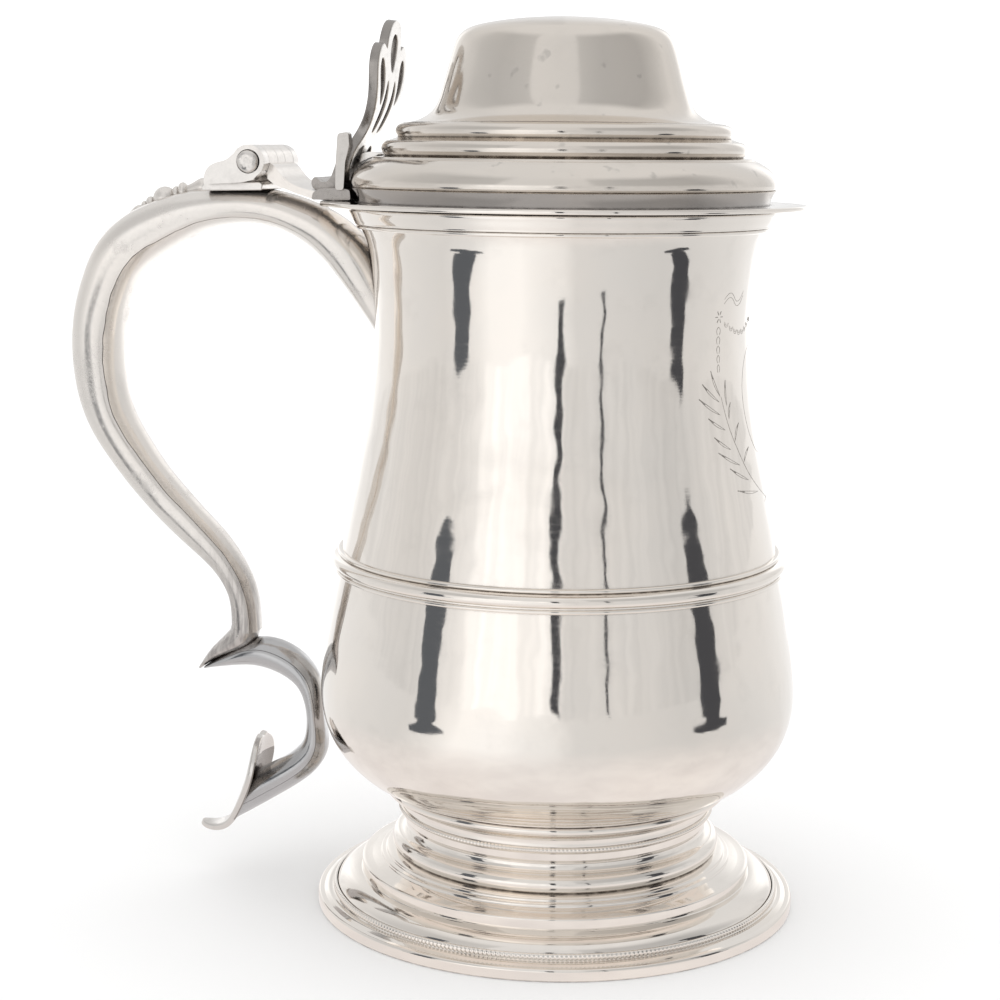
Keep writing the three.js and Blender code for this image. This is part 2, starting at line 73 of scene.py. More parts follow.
HINGE_X = frame["joints"][0]["pos_m"][0] / MM - AXIS_X
HINGE_Z = frame["joints"][0]["pos_m"][2] / MM
RIM_RADIUS = high("foot_rim").y
RIM_TOP = high("foot_rim").z
BODY_BOTTOM = low("body_shell").z
BODY_TOP = high("body_shell").z
FLANGE_RADIUS = high("lid_flange").y
FLANGE_BOTTOM = low("lid_flange").z
FLANGE_TOP = high("lid_flange").z
LID_TOP = high("lid_cover").z
BEZEL_BOTTOM = low("lid_bezel").z
BARREL_HALF = high("end_knuckle_far").y
END_KNUCKLE = BARREL_HALF - low("end_knuckle_far").y
MID_HALF = high("middle_knuckle").y

WALL = 1.5
FINE = 288  # sides of a turned piece
BODY_SIDES = 372
LID_SIDES = 320
SOLDER = 0.6  # how deep one piece sinks into the next where they are soldered
BRIGHT, TONED = "polished_metal", "toned_metal"  # the record's material slots

# ---- curves


def spline(poles, per_span):
    """Points of a cubic B-spline, span by span."""
    curve = []
    for i in range(len(poles) - 3):
        for k in range(per_span):
            t = k / per_span
            pull = np.array([(1 - t) ** 3, 3 * t**3 - 6 * t**2 + 4, 1 + 3 * t + 3 * t**2 - 3 * t**3, t**3])
            curve.append(tuple(pull @ poles[i : i + 4] / 6))
    return curve


def fair(points, per_span=6):
    """A smooth curve that starts and ends on the outer points and is drawn towards the others."""
    poles = np.array([points[0]] * 2 + list(points) + [points[-1]] * 2, float)
    return spline(poles, per_span) + [tuple(points[-1])]


def closed_curve(points, steps=5):
    """A closed smooth loop drawn towards the points."""
    count = len(points)
    return spline(np.array([points[(i - 1) % count] for i in range(count + 3)], float), steps)


def arc(x, y, size, start, end, steps=12):
    """A stretch of circle; angles in degrees from +x towards +y."""
    turns = np.radians(np.linspace(start, end, steps + 1))
    return [(x + size * math.cos(a), y + size * math.sin(a)) for a in turns]


def eased(points, radius, steps=4, closed=False):
    """The same outline with its corners rounded."""
    count = len(points)
    made = []
    for i, (x, y) in enumerate(points):
        if not closed and i in (0, count - 1):
            made.append((x, y))
            continue
        at = Vector((x, y))
        back = Vector(points[i - 1]) - at
        on = Vector(points[(i + 1) % count]) - at
        if back.length < 1e-6 or on.length < 1e-6:
            made.append((x, y))
            continue
        cut = min(radius, 0.45 * back.length, 0.45 * on.length)
        a, b = at + back.normalized() * cut, at + on.normalized() * cut
        for k in range(steps + 1):
            t = k / steps
            p = a * (1 - t) ** 2 + at * 2 * t * (1 - t) + b * t**2
            made.append((p.x, p.y))
    return made


def directions(path):
    """The direction of travel at each point of a path."""
    along = np.gradient(path, axis=0)
    return along / np.maximum(np.linalg.norm(along, axis=1), 1e-9)[:, None]


def lengths(path):
    """How far along a path each of its points is."""
    return np.concatenate([[0], np.cumsum(np.linalg.norm(np.diff(path, axis=0), axis=1))])


def bend(spine):
    """A way to bend a straight piece along a spine in the XZ plane, and the spine's length.

    The way takes how far a point is across, along and out, and gives its place.
    """
    path = np.array(fair(spine, 12))
    run, along = lengths(path), directions(path)

    def place(across, length, out):
        x, z = (float(np.interp(length, run, path[:, k])) for k in (0, 1))
        tx, tz = (float(np.interp(length, run, along[:, k])) for k in (0, 1))
        return (x + tz * out, across, z - tx * out)

    return place, run[-1]


def offset(profile, distance):
    """A radius-height profile moved sideways, outwards for a profile that rises."""
    p = np.array(profile, float)
    along = directions(p)
    return [tuple(q) for q in p + distance * np.stack([along[:, 1], -along[:, 0]], axis=1)]


def wave(point, scale, seed=0.0):
    """A smooth random value of about -1 to 1 that is the same each time."""
    return noise.noise(Vector(point) / scale + Vector((seed, 2.7 * seed, -1.3 * seed)))


# ---- meshes


def mesh_object(name, points, faces, material):
    """A new object in the scene, from points in metres."""
    data = bpy.data.meshes.new(name)
    data.from_pydata(points, [], faces)
    data.materials.append(material)
    made = bpy.data.objects.new(name, data)
    bpy.context.scene.collection.objects.link(made)
    return made


def add_piece(name, mesh, material, sharp=40, body="vessel", slot=BRIGHT, nodes=None):
    """One piece of the tankard, from points in millimetres and faces, riding on its body.

    It stands for the CAD node of its own name unless nodes says otherwise.
    """
    points = np.array(mesh[0], float)
    points[:, 0] += AXIS_X
    made = mesh_object(name, (points * MM).tolist(), mesh[1], material)
    data = made.data
    shaped = bmesh.new()
    shaped.from_mesh(data)
    bmesh.ops.remove_doubles(shaped, verts=shaped.verts, dist=2e-7)
    bmesh.ops.dissolve_degenerate(shaped, edges=shaped.edges, dist=1e-8)
    bmesh.ops.recalc_face_normals(shaped, faces=shaped.faces)
    shaped.to_mesh(data)
    shaped.free()
    data.polygons.foreach_set("use_smooth", [True] * len(data.polygons))
    data.set_sharp_from_angle(angle=math.radians(sharp))
    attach(made, body)
    nodes = [name] if nodes is None else nodes
    if nodes:
        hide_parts(*nodes)
    return made


def grid_faces(rows, columns, close_rows=False):
    """Quads over a grid of points whose columns go round; the rows may close too."""
    faces = []
    for i in range(rows if close_rows else rows - 1):
        a, b = i * columns, ((i + 1) % rows) * columns
        for j in range(columns):
            k = (j + 1) % columns
            faces.append((a + j, a + k, b + k, b + j))
    return faces


def turned(profile, sides=FINE, shape=None):
    """Points and faces of a turned piece. A profile that leaves the axis open closes on itself."""
    closed = profile[0][0] > 1e-6 or profile[-1][0] > 1e-6
    r, z = np.array(profile, float).T
    angle = np.arange(sides) * 2 * math.pi / sides
    points = np.stack(
        [np.outer(r, np.cos(angle)), np.outer(r, np.sin(angle)), np.outer(z, np.ones(sides))], axis=2
    ).reshape(-1, 3)
    if shape:
        points = np.array([shape(p) for p in points])
    return points, grid_faces(len(profile), sides, closed)


def dented(depths, seed):
    """A way to push a turned surface in and out a little, as hammering and use do.

    depths: pairs of how deep and how wide the dents are, in millimetres.
    """

    def shape(p):
        radius = math.hypot(p[0], p[1])
        if radius < 1:
            return p
        push = sum(depth * wave(p, size, seed + 5 * k) for k, (depth, size) in enumerate(depths))
        push *= min(1, (radius - 1) / 12)
        return np.array([p[0] * (1 + push / radius), p[1] * (1 + push / radius), p[2]])

    return shape


class Scroll:
    """A bar bent along a spine in the XZ plane, each station x, z, half width, half thickness."""

    def __init__(self, stations, per_span=10):
        self.at = np.array(fair(stations, per_span))
        along = directions(self.at[:, :2])
        self.out = np.stack([along[:, 1], -along[:, 0]], axis=1)
        self.run = lengths(self.at[:, :2])

    def point(self, i, across, out):
        """A point of the section: across in half widths, out in half thicknesses."""
        x, z, width, thick = self.at[i]
        return (x + self.out[i, 0] * out * thick, across * width, z + self.out[i, 1] * out * thick)

    def bar(self, section, shape=None):
        """The section swept along the spine, closed at both ends. section(i) gives its loop."""
        loops = [section(i) for i in range(len(self.at))]
        points = [self.point(i, u, v) for i, loop in enumerate(loops) for u, v in loop]
        around = len(loops[0])
        faces = grid_faces(len(loops), around)
        faces.append(tuple(reversed(range(around))))
        faces.append(tuple(range(len(points) - around, len(points))))
        if shape:
            points = [shape(p) for p in points]
        return points, faces


def plate(outline, y0, y1, hole=None):
    """A flat plate cut to a side outline of x, z pairs, from y0 to y1, with an optional hole."""
    shaped = bmesh.new()
    loops = [outline] + ([hole] if hole else [])
    edges = []
    for loop in loops:
        ring = [shaped.verts.new((x, y0, z)) for x, z in loop]
        edges += [shaped.edges.new((ring[i - 1], ring[i])) for i in range(len(ring))]
    bmesh.ops.triangle_fill(shaped, use_beauty=True, use_dissolve=False, edges=edges)
    grown = bmesh.ops.extrude_face_region(shaped, geom=shaped.faces[:])
    moved = [v for v in grown["geom"] if isinstance(v, bmesh.types.BMVert)]
    bmesh.ops.translate(shaped, verts=moved, vec=(0, y1 - y0, 0))
    shaped.verts.index_update()
    points = [tuple(v.co) for v in shaped.verts]
    faces = [tuple(v.index for v in f.verts) for f in shaped.faces]
    shaped.free()
    return points, faces


def soften(piece, width, segments=3, angle=35):
    """Rounds a piece's sharp edges."""
    bevel = piece.modifiers.new("edge_rounding", "BEVEL")
    bevel.width = width * MM
    bevel.segments = segments
    bevel.limit_method = "ANGLE"
    bevel.angle_limit = math.radians(angle)
    bevel.harden_normals = True
    return piece


def add_plate(name, outline, sides, material, rounding, hole=None, **settings):
    """A piece cut from flat plate between two sides, with its edges rounded."""
    made = add_piece(name, plate(outline, *sides, hole), material, 30, **settings)
    return soften(made, rounding)


# ---- materials


class Nodes:
    """Short ways to add and join shader nodes."""

    def __init__(self, owner):
        owner.use_nodes = True
        self.owner = owner
        self.tree = owner.node_tree
        self.tree.nodes.clear()

    def add(self, kind, **settings):
        node = self.tree.nodes.new(kind)
        for key, value in settings.items():
            setattr(node, key, value)
        return node

    def filled(self, kind, **inputs):
        """A node with its inputs set, each a value or a socket to join; _ stands for a space."""
        node = self.add(kind)
        for key, value in inputs.items():
            self.feed(node.inputs[key.replace("_", " ")], value)
        return node

    def finish(self, shader, kind="ShaderNodeOutputMaterial"):
        """Joins a shader to the output, and gives the material."""
        self.join(shader.outputs[0], self.add(kind).inputs["Surface"])
        return self.owner

    def join(self, source, target):
        self.tree.links.new(source, target)

    def feed(self, target, value):
        if isinstance(value, bpy.types.NodeSocket):
            self.join(value, target)
        else:
            target.default_value = value

    def maths(self, operation, a, b=0.0, clamp=False):
        node = self.add("ShaderNodeMath", operation=operation, use_clamp=clamp)
        self.feed(node.inputs[0], a)
        self.feed(node.inputs[1], b)
        return node.outputs[0]

    def vector(self, operation, a, b=None):
        """A vector node of one operation, its first inputs set."""
        node = self.add("ShaderNodeVectorMath", operation=operation)
        self.feed(node.inputs[0], a)
        if b is not None:
            self.feed(node.inputs[1], b)
        return node

    def noise(self, at, scale, detail=2.0, roughness=0.5):
        node = self.filled("ShaderNodeTexNoise", Vector=at, Scale=scale, Detail=detail, Roughness=roughness)
        return node.outputs["Fac"]

    def place(self):
        return self.add("ShaderNodeTexCoord").outputs["Object"]

    def spread(self, value, start, end, low=0.0, high=1.0):
        """The value from start to end, eased on to low to high."""
        node = self.add("ShaderNodeMapRange", interpolation_type="SMOOTHSTEP")
        for socket, given in zip(node.inputs, (value, start, end, low, high)):
            self.feed(socket, given)
        return node.outputs[0]

    def mix(self, share, a, b):
        node = self.add("ShaderNodeMix", data_type="RGBA")
        self.feed(node.inputs["Factor"], share)
        self.feed(node.inputs["A"], a)
        self.feed(node.inputs["B"], b)
        return node.outputs["Result"]

    def stretched(self, at, factors):
        return self.filled("ShaderNodeMapping", Vector=at, Scale=factors).outputs["Vector"]

    def bump(self, height, strength, distance):
        """Relief whose distance is in millimetres."""
        return self.filled("ShaderNodeBump", Height=height, Strength=strength, Distance=distance * MM)


def painted_shade_below(n, at, colour, heights):
    """The colour with painted shade, in streaks, that sets in downwards between two heights, in millimetres.
    """
    height = n.add("ShaderNodeSeparateXYZ")
    n.join(at, height.inputs[0])
    down = n.spread(height.outputs["Z"], *heights)
    streaks = n.noise(n.stretched(at, (0.9, 0.9, 0.12)), 1.0, 3.0, 0.6)
    down = n.maths("MULTIPLY", down, n.spread(streaks, 0.35, 0.65, 0.55, 1.0))
    # painted shade: the colour turns a darker grey-brown towards the bottom, in streaks
    return n.mix(down, colour, (0.4, 0.375, 0.36, 1))


def crease_shade_and_tarnish(n, at, tarnish_and_shade_strength, reach):
    """How much tarnishing and painted shade a place gets: most down in the creases, unevenly."""
    # painted shade: the ambient occlusion of the surface and of the parts round it darkens the colour in
    # creases, with real tarnishing mixed in
    crease = n.add("ShaderNodeAmbientOcclusion", samples=6, only_local=False)
    crease.inputs["Distance"].default_value = reach * MM
    hidden = n.spread(crease.outputs["AO"], 0.72, 0.28, 0.0, tarnish_and_shade_strength)
    return n.maths("MULTIPLY", hidden, n.spread(n.noise(at, 0.5, 3.0), 0.3, 0.6, 0.55, 1.0))


def metal(name, tint, rough=0.07, tarnish_and_shade_strength=1.0, stains=0.0, dents=0.3, dent_size=6.0, turned_marks=True,
          reach=1.6, sheen=1.0, shaded=None):
    """Hand-polished metal: uneven tone, rubbing marks, soft dents, and tarnishing with painted shade down in
    the creases.

    dent_size is how wide the dents are, and reach how far from a crease the tarnishing and painted shade go,
    in millimetres.
    Less sheen makes it satin: it scatters more of the light and mirrors less. shaded gives two heights, in
    millimetres, between which painted shade sets in downwards.
    """
    n = Nodes(bpy.data.materials.new(name))
    centred = n.vector("MULTIPLY_ADD", n.place(), (1 / MM,) * 3)
    centred.inputs[2].default_value = (-AXIS_X, 0, 0)
    at = centred.outputs[0]  # millimetres round the body's axis

    cool = tuple(c * k for c, k in zip(tint, (0.965, 0.975, 0.985))) + (1,)
    colour = n.mix(n.spread(n.noise(at, 0.035, 3.0), 0.32, 0.68), (*tint, 1), cool)
    dull = n.spread(n.noise(at, 0.11, 4.0, 0.6), 0.52, 0.74)
    colour = n.mix(n.maths("MULTIPLY", dull, 0.18), colour, tuple(c * 0.8 for c in tint) + (1,))

    # Fine marks from polishing: round the axis on turned pieces, every way elsewhere.
    marks_at = n.stretched(at, (0.22, 0.22, 1.4) if turned_marks else (0.9, 0.25, 0.9))
    marks = n.noise(marks_at, 1.0, 5.0, 0.7)
    wisps = n.noise(n.stretched(at, (0.5, 0.5, 0.22)), 1.0, 4.0, 0.65)
    roughness = n.spread(marks, 0.35, 0.75, rough * 0.75, rough * 1.5)
    roughness = n.maths("ADD", roughness, n.maths("MULTIPLY", dull, rough * 0.8))
    # painted shade lower down, where heights are given
    if shaded:
        colour = painted_shade_below(n, at, colour, shaded)
    if stains:
        spots = n.spread(n.noise(at, 0.28, 2.0, 0.4), 0.68, 0.78, 0.0, stains)
        colour = n.mix(spots, colour, (0.36, 0.35, 0.33, 1))
        roughness = n.maths("ADD", roughness, n.maths("MULTIPLY", spots, 0.12))
    # painted shade with tarnishing: creases and places between parts turn brown-black and rougher
    shade_and_tarnish = crease_shade_and_tarnish(n, at, tarnish_and_shade_strength, reach)
    colour = n.mix(shade_and_tarnish, colour, (0.085, 0.062, 0.048, 1))
    roughness = n.maths("ADD", roughness, n.maths("MULTIPLY", shade_and_tarnish, 0.3), clamp=True)

    soft = n.bump(n.noise(at, 1 / dent_size, 2.0, 0.4), dents, 0.05)
    fine = n.bump(n.maths("ADD", marks, n.maths("MULTIPLY", wisps, 0.8)), 0.25, 0.016)
    n.join(soft.outputs["Normal"], fine.inputs["Normal"])
    normal = fine.outputs["Normal"]
    shader = n.filled("ShaderNodeBsdfPrincipled", Base_Color=colour, Roughness=roughness, Normal=normal)
    shader.inputs["Metallic"].default_value = sheen
    return n.finish(shader)


def glow_card(name, colour):
    """A card's finish that glows by itself."""
    n = Nodes(bpy.data.materials.new(name))
    return n.finish(n.filled("ShaderNodeEmission", Color=(*colour, 1)))


def cut_shade_metal():
    """The floor of an engraved line: dull and uneven, and dark with painted shade."""
    n = Nodes(bpy.data.materials.new("engraved_line_painted_shade"))
    tone = n.spread(n.noise(n.place(), 900.0, 2.0), 0.35, 0.65)
    shader = n.add("ShaderNodeBsdfPrincipled")
    shader.inputs["Metallic"].default_value = 1.0
    shader.inputs["Roughness"].default_value = 0.42
    # painted shade: a dark grey-brown stands in for the shadow in the cut
    n.join(n.mix(tone, (0.3, 0.275, 0.25, 1), (0.5, 0.47, 0.44, 1)), shader.inputs["Base Color"])
    return n.finish(shader)


BRIGHT_TINT = (0.905, 0.85, 0.79)
TONED_TINT = (0.8, 0.74, 0.675)
BODY_METAL = metal("body_metal", BRIGHT_TINT, rough=0.055, tarnish_and_shade_strength=0.85)
FOOT_METAL = metal("foot_metal", BRIGHT_TINT, rough=0.06, tarnish_and_shade_strength=0.6, dents=0.15, reach=0.8)
LID_METAL = metal("lid_metal", TONED_TINT, rough=0.11, tarnish_and_shade_strength=0.65, stains=0.35, reach=0.8)
# a darker grey for the lid's lowest band: a painted reflection of the flange below it
BAND_REFLECTION_METAL = metal("lid_band_painted_reflection", (0.5, 0.485, 0.48), rough=0.13, tarnish_and_shade_strength=0.65, reach=0.8)
# the handle carries painted shade from 92 mm down, fullest from 66 mm down
HANDLE_METAL = metal(
    "handle_metal", (0.81, 0.765, 0.72), rough=0.19, tarnish_and_shade_strength=0.75, turned_marks=False, reach=1.0, sheen=0.78,
    shaded=(92, 66),
)
SCROLL_METAL = metal("scroll_metal", (0.53, 0.525, 0.525), rough=0.15, turned_marks=False, sheen=0.95)
CAST_METAL = metal(
    "cast_metal", (0.76, 0.725, 0.69), rough=0.16, tarnish_and_shade_strength=0.8, dents=0.5, dent_size=1.8, turned_marks=False
)
WING_METAL = metal("wing_metal", (0.56, 0.53, 0.5), rough=0.2, dents=0.6, dent_size=1.8, turned_marks=False)
EDGE_METAL = metal(
    "edge_metal", (0.36, 0.335, 0.315), rough=0.24, dents=0.6, dent_size=1.8, turned_marks=False
)
CUT_SHADE_METAL = cut_shade_metal()

# ---- vessel

BODY_POLES = [
    (0, BODY_BOTTOM), (20, 28.05), (33, 28.3), (41.5, 29.7), (47, 32.6), (52.3, 37.8), (55.4, 43.2),
    (56.9, 49.2), (57, 55), (56.2, 61.6), (54.9, 69), (53.7, 76), (52.4, 83.4), (51.1, 90.4),
    (49.8, 97.4), (48.35, 104.8), (46.85, 112.4), (45.4, 120.2), (44.2, 129), (43.75, 139), (44, 149),
    (44.9, 157), (46.4, 161.4), (48.2, 164),
]
BODY_CURVE = fair(BODY_POLES, 7)


def body_radius(z):
    """Outside radius of the body at a height above its widest part's underside."""
    heights = [p[1] for p in BODY_CURVE]
    return float(np.interp(z, heights, [p[0] for p in BODY_CURVE]))


BODY_DENTS = dented([(0.15, 38), (0.09, 15), (0.055, 6), (0.017, 2.4)], 1.0)


def body_shell():
    mouth = BODY_CURVE[-1][0]
    lip = eased([(mouth, 164), (mouth, BODY_TOP), (mouth - WALL, BODY_TOP), (mouth - WALL, 164)], 0.6)
    inside = offset(fair(BODY_POLES, 3), -WALL)[::-1]
    inside[-1] = (0, BODY_BOTTOM + WALL)
    profile = BODY_CURVE + lip[1:-1] + inside
    add_piece("body_shell", turned(profile, BODY_SIDES, BODY_DENTS), BODY_METAL, 60)


def lip_moulding():
    inner = BODY_CURVE[-1][0] - SOLDER
    outer = (
        arc(47.7, 163.1, 0.55, -80, 60, 8) + arc(48.3, 163.9, 0.35, -60, 10, 4)
        + fair([(48.75, 164.1), (49.2, 164.9), (49.6, 165.8), (49.95, 166.4)], 4)
        + arc(49.5, 166.8, 0.55, -20, 95, 8)
    )
    add_piece("lip_moulding", turned([(inner, 162.7)] + outer + [(inner, 167.4)]), BODY_METAL)


def mid_band():
    low_z, high_z = low("mid_band").z, high("mid_band").z
    middle = (low_z + high_z) / 2
    base = body_radius(middle) - SOLDER
    outer = (
        arc(53.05, low_z + 0.5, 0.5, -95, 80, 8)
        + arc(52.75, middle, 1.42, -72, 72, 14)
        + arc(52.3, high_z - 0.5, 0.5, -80, 95, 8)
    )
    add_piece("mid_band", turned([(base, low_z)] + outer + [(base, high_z)]), FOOT_METAL)


def milled(radius, z, size, height, count, depth, slant):
    """A round wire cut all the way round with small slanting nicks."""
    ring = arc(0, 0, 1, -90, 90, 10)
    sides = count * 6
    angle = np.arange(sides) * 2 * math.pi / sides
    points = []
    for u, v in ring + [(-0.5, 0.9), (-0.5, -0.9)]:
        nick = 0.5 + 0.5 * np.cos(count * angle + slant * v)
        r = radius + size * u - depth * nick * max(u, 0)
        points.append(np.stack([r * np.cos(angle), r * np.sin(angle), np.full(sides, z + height * v)], 1))
    return np.concatenate(points), grid_faces(len(ring) + 2, sides, True)


def foot_collar():
    profile = (
        [(35.9, 19.4)] + eased([(36.1, 20.3), (36.8, 20.6), (36.9, 22.5), (37.3, 22.8)], 0.3)
        + [(37.4, 24.2)] + fair([(37.4, 24.4), (37.3, 25.4), (37.6, 26.4), (38.6, 27.1), (39.9, 27.7)], 4)
        + arc(40.4, 28.9, 1.15, -75, 85, 12) + [(38, 29.6), (34.3, 28.2), (34.3, 19.9)]
    )
    add_piece("foot_collar", turned(profile, FINE, dented([(0.05, 26)], 2)), FOOT_METAL)
    add_piece("collar_beading", milled(37.5, 23.5, 0.75, 0.62, 260, 0.22, 1.2), FOOT_METAL, 70, nodes=[])


def foot_shell():
    outside = (
        [(56.9, RIM_TOP - 0.2), (55.6, 3.3)] + fair([(55.6, 3.3), (55.1, 3.5), (54.6, 3.4), (54.2, 3.5)], 3)
        + [(53.1, 4.6)]
        + fair([(53.1, 4.6), (52.9, 5.3), (51.9, 6.4), (50.2, 7.3), (48.3, 7.8), (47.3, 7.9)], 6)
        + eased([(47.05, 8.1), (47.1, 10.5), (46.5, 10.75), (44.6, 11.05)], 0.35)
        + fair([(44.6, 11.05), (43.6, 11.35), (42.6, 11.6)], 4)
        + eased([(42.5, 11.7), (42.4, 12.3), (41.2, 12.5), (41.1, 13.1), (40, 13.35), (39.3, 13.5)], 0.25)
        + arc(37.55, 15.5, 2.15, -58, 78, 20)
        + fair([(37.9, 17.6), (37.0, 17.85), (36.3, 18.5), (36.05, 19.2), (36, 19.7)], 5)
    )
    inside = [
        (34.4, 19.6), (35.8, 16), (37, 12.8), (44.9, 9.2), (45.6, 6.4), (49.8, 5.4), (52.2, RIM_TOP - 0.2)
    ]
    add_piece("foot_shell", turned(outside + inside, FINE, dented([(0.07, 30), (0.03, 9)], 3)), FOOT_METAL)
    add_piece("foot_reeding", milled(53.55, 4.15, 0.62, 0.85, 330, 0.2, 1.6), FOOT_METAL, 70, nodes=[])


def foot_rim():
    outline = eased(
        [(52.4, RIM_TOP), (52.4, 1.6), (54.4, 0), (57.5, 0), (RIM_RADIUS, 0.3), (RIM_RADIUS, 2.4),
         (57.5, RIM_TOP), (56, RIM_TOP + 0.1)], 0.3, closed=True,
    )
    add_piece("foot_rim", turned(outline), FOOT_METAL)


# ---- engraving


def on_body(u, v, lift):
    """A point above the body's surface: u round it from the front, v up, lift out."""
    radius = body_radius(v)
    angle = u / radius
    point = ((radius + lift) * math.cos(angle), (radius + lift) * math.sin(angle), v)
    return tuple(BODY_DENTS(point))


ENGRAVED_LIFT = 0.025  # just proud of the surface, so that every line shows
ENGRAVED_DEPTH = 0.15


class Engraving:
    """Cut lines, each a long thin wedge let into the body's surface."""

    def __init__(self):
        self.points, self.faces = [], []

    def line(self, path, width=0.3, ends=(0.15, 0.1)):
        """A line through u, v pairs that swells in the middle and thins at its ends."""
        curve = np.array(fair(path, 4))
        first = len(self.points)
        for (u, v), (du, dv), t in zip(curve, directions(curve), np.linspace(0, 1, len(curve))):
            half = width / 2 * (ends[0] + (ends[1] - ends[0]) * t + math.sin(math.pi * t) ** 0.8)
            self.points += [
                on_body(u - dv * half, v + du * half, ENGRAVED_LIFT),
                on_body(u + dv * half, v - du * half, ENGRAVED_LIFT),
                on_body(u, v, -ENGRAVED_DEPTH),
            ]
        for i in range(len(curve) - 1):
            a, b = first + 3 * i, first + 3 * i + 3
            self.faces += [(a, a + 1, b + 1, b), (a + 1, a + 2, b + 2, b + 1), (a + 2, a, b, b + 2)]
        last = len(self.points) - 3
        self.faces += [(first, first + 2, first + 1), (last, last + 1, last + 2)]

    def leaf(self, base, tip, bow, width=0.11):
        """A slender leaf drawn with two strokes, and a short heavier cut at its tip."""
        (u0, v0), (u1, v1) = base, tip
        side = Vector((v0 - v1, u1 - u0)).normalized()
        middle = Vector(((u0 + u1) / 2, (v0 + v1) / 2))
        for spread in (bow + 0.5, bow - 0.35):
            through = middle + side * spread
            self.line([base, tuple(through), tip], width)
        near = Vector(tip).lerp(Vector(base), 0.3)
        self.line([tip, tuple(near + side * bow * 0.6)], width * 2, (0.3, 0.05))


LEAVES = [
    ((-21.4, 126.6), (-24.4, 132.6)), ((-22, 125.4), (-27.6, 129.8)), ((-22.2, 122.5), (-29.1, 126.6)),
    ((-21, 119), (-26.8, 122.1)), ((-20, 114.5), (-25.8, 117.8)), ((-16.9, 110.6), (-25.3, 114.3)),
    ((-13.5, 106.8), (-21.9, 110.4)), ((-8.3, 103.5), (-20.4, 105.2)), ((-19, 124.3), (-18.6, 130.1)),
    ((-18.7, 121.3), (-17.1, 124.9)), ((-17.5, 116), (-14.2, 120)), ((-14.5, 111), (-10, 114)),
]
STEM = [(-21, 126.5), (-19.4, 118.9), (-15.7, 112.1), (-12.1, 107), (-5, 102.6), (2.5, 100.2)]


RIBBON = [(-19.5, 148.2), (-17.2, 150), (-15, 149), (-13.6, 147.2), (-11, 147.6), (-9, 149.6)]
DROP_AT = -21.3  # where the husks hang


def ellipse(u, v, across, high, turns):
    """Points on an ellipse round u, v at some angles in degrees."""
    return [(u + across * math.cos(a), v + high * math.sin(a)) for a in np.radians(turns)]


def cut_drop(cut, centre):
    """A string of husks under a small rosette."""
    for k in range(5):
        top = 142.2 - 2.1 * k
        size = 1.0 - 0.09 * k
        for flip in (-1, 1):
            curl = [(centre, top), (centre + flip * size, top - 0.7), (centre + flip * size * 0.4, top - 1.8)]
            cut.line(curl, 0.11)
    turns = range(0, 360, 60)
    for petal in zip(ellipse(centre, 144.4, 0.5, 0.5, turns), ellipse(centre, 144.4, 1.5, 1.5, turns)):
        cut.line(petal, 0.2)


def cut_swag(cut, centre):
    """Half of a hanging swag of scallops, from the rosette to the middle."""
    for k in range(8):
        t = (k + 0.5) / 8
        u, v = centre * (0.9 - 0.9 * t), 143.4 - 2.8 * math.sin(math.pi * t)
        for ring in (1.0, 0.55):
            cut.line(ellipse(u, v, ring, ring, range(160, 400, 40)), 0.08)


def engraving():
    """A generic wreath: two laurel sprays, bows with husks, a swag of scallops, and an oval."""
    cut = Engraving()
    for side in (1, -1):
        cut.line([(u * side, v) for u, v in STEM], 0.12, (0.5, 0.2))
        for (u0, v0), (u1, v1) in LEAVES:
            cut.leaf((u0 * side, v0), (u1 * side, v1), 0.35 * side)
        cut_drop(cut, DROP_AT * side)
        cut_swag(cut, DROP_AT * side)
        for rise in (0, -1.0):
            cut.line([(u * side, v + rise) for u, v in RIBBON], 0.1)
    cut.line(ellipse(0, 124, 9.5, 12.5, range(0, 361, 15)), 0.06, (0.9, 0.9))
    add_piece("engraving", (cut.points, cut.faces), CUT_SHADE_METAL, 30, nodes=[])


# ---- lid

BAND_TOP = 171.9  # the lid's lowest band, given a darker finish as a painted reflection, reaches up to here


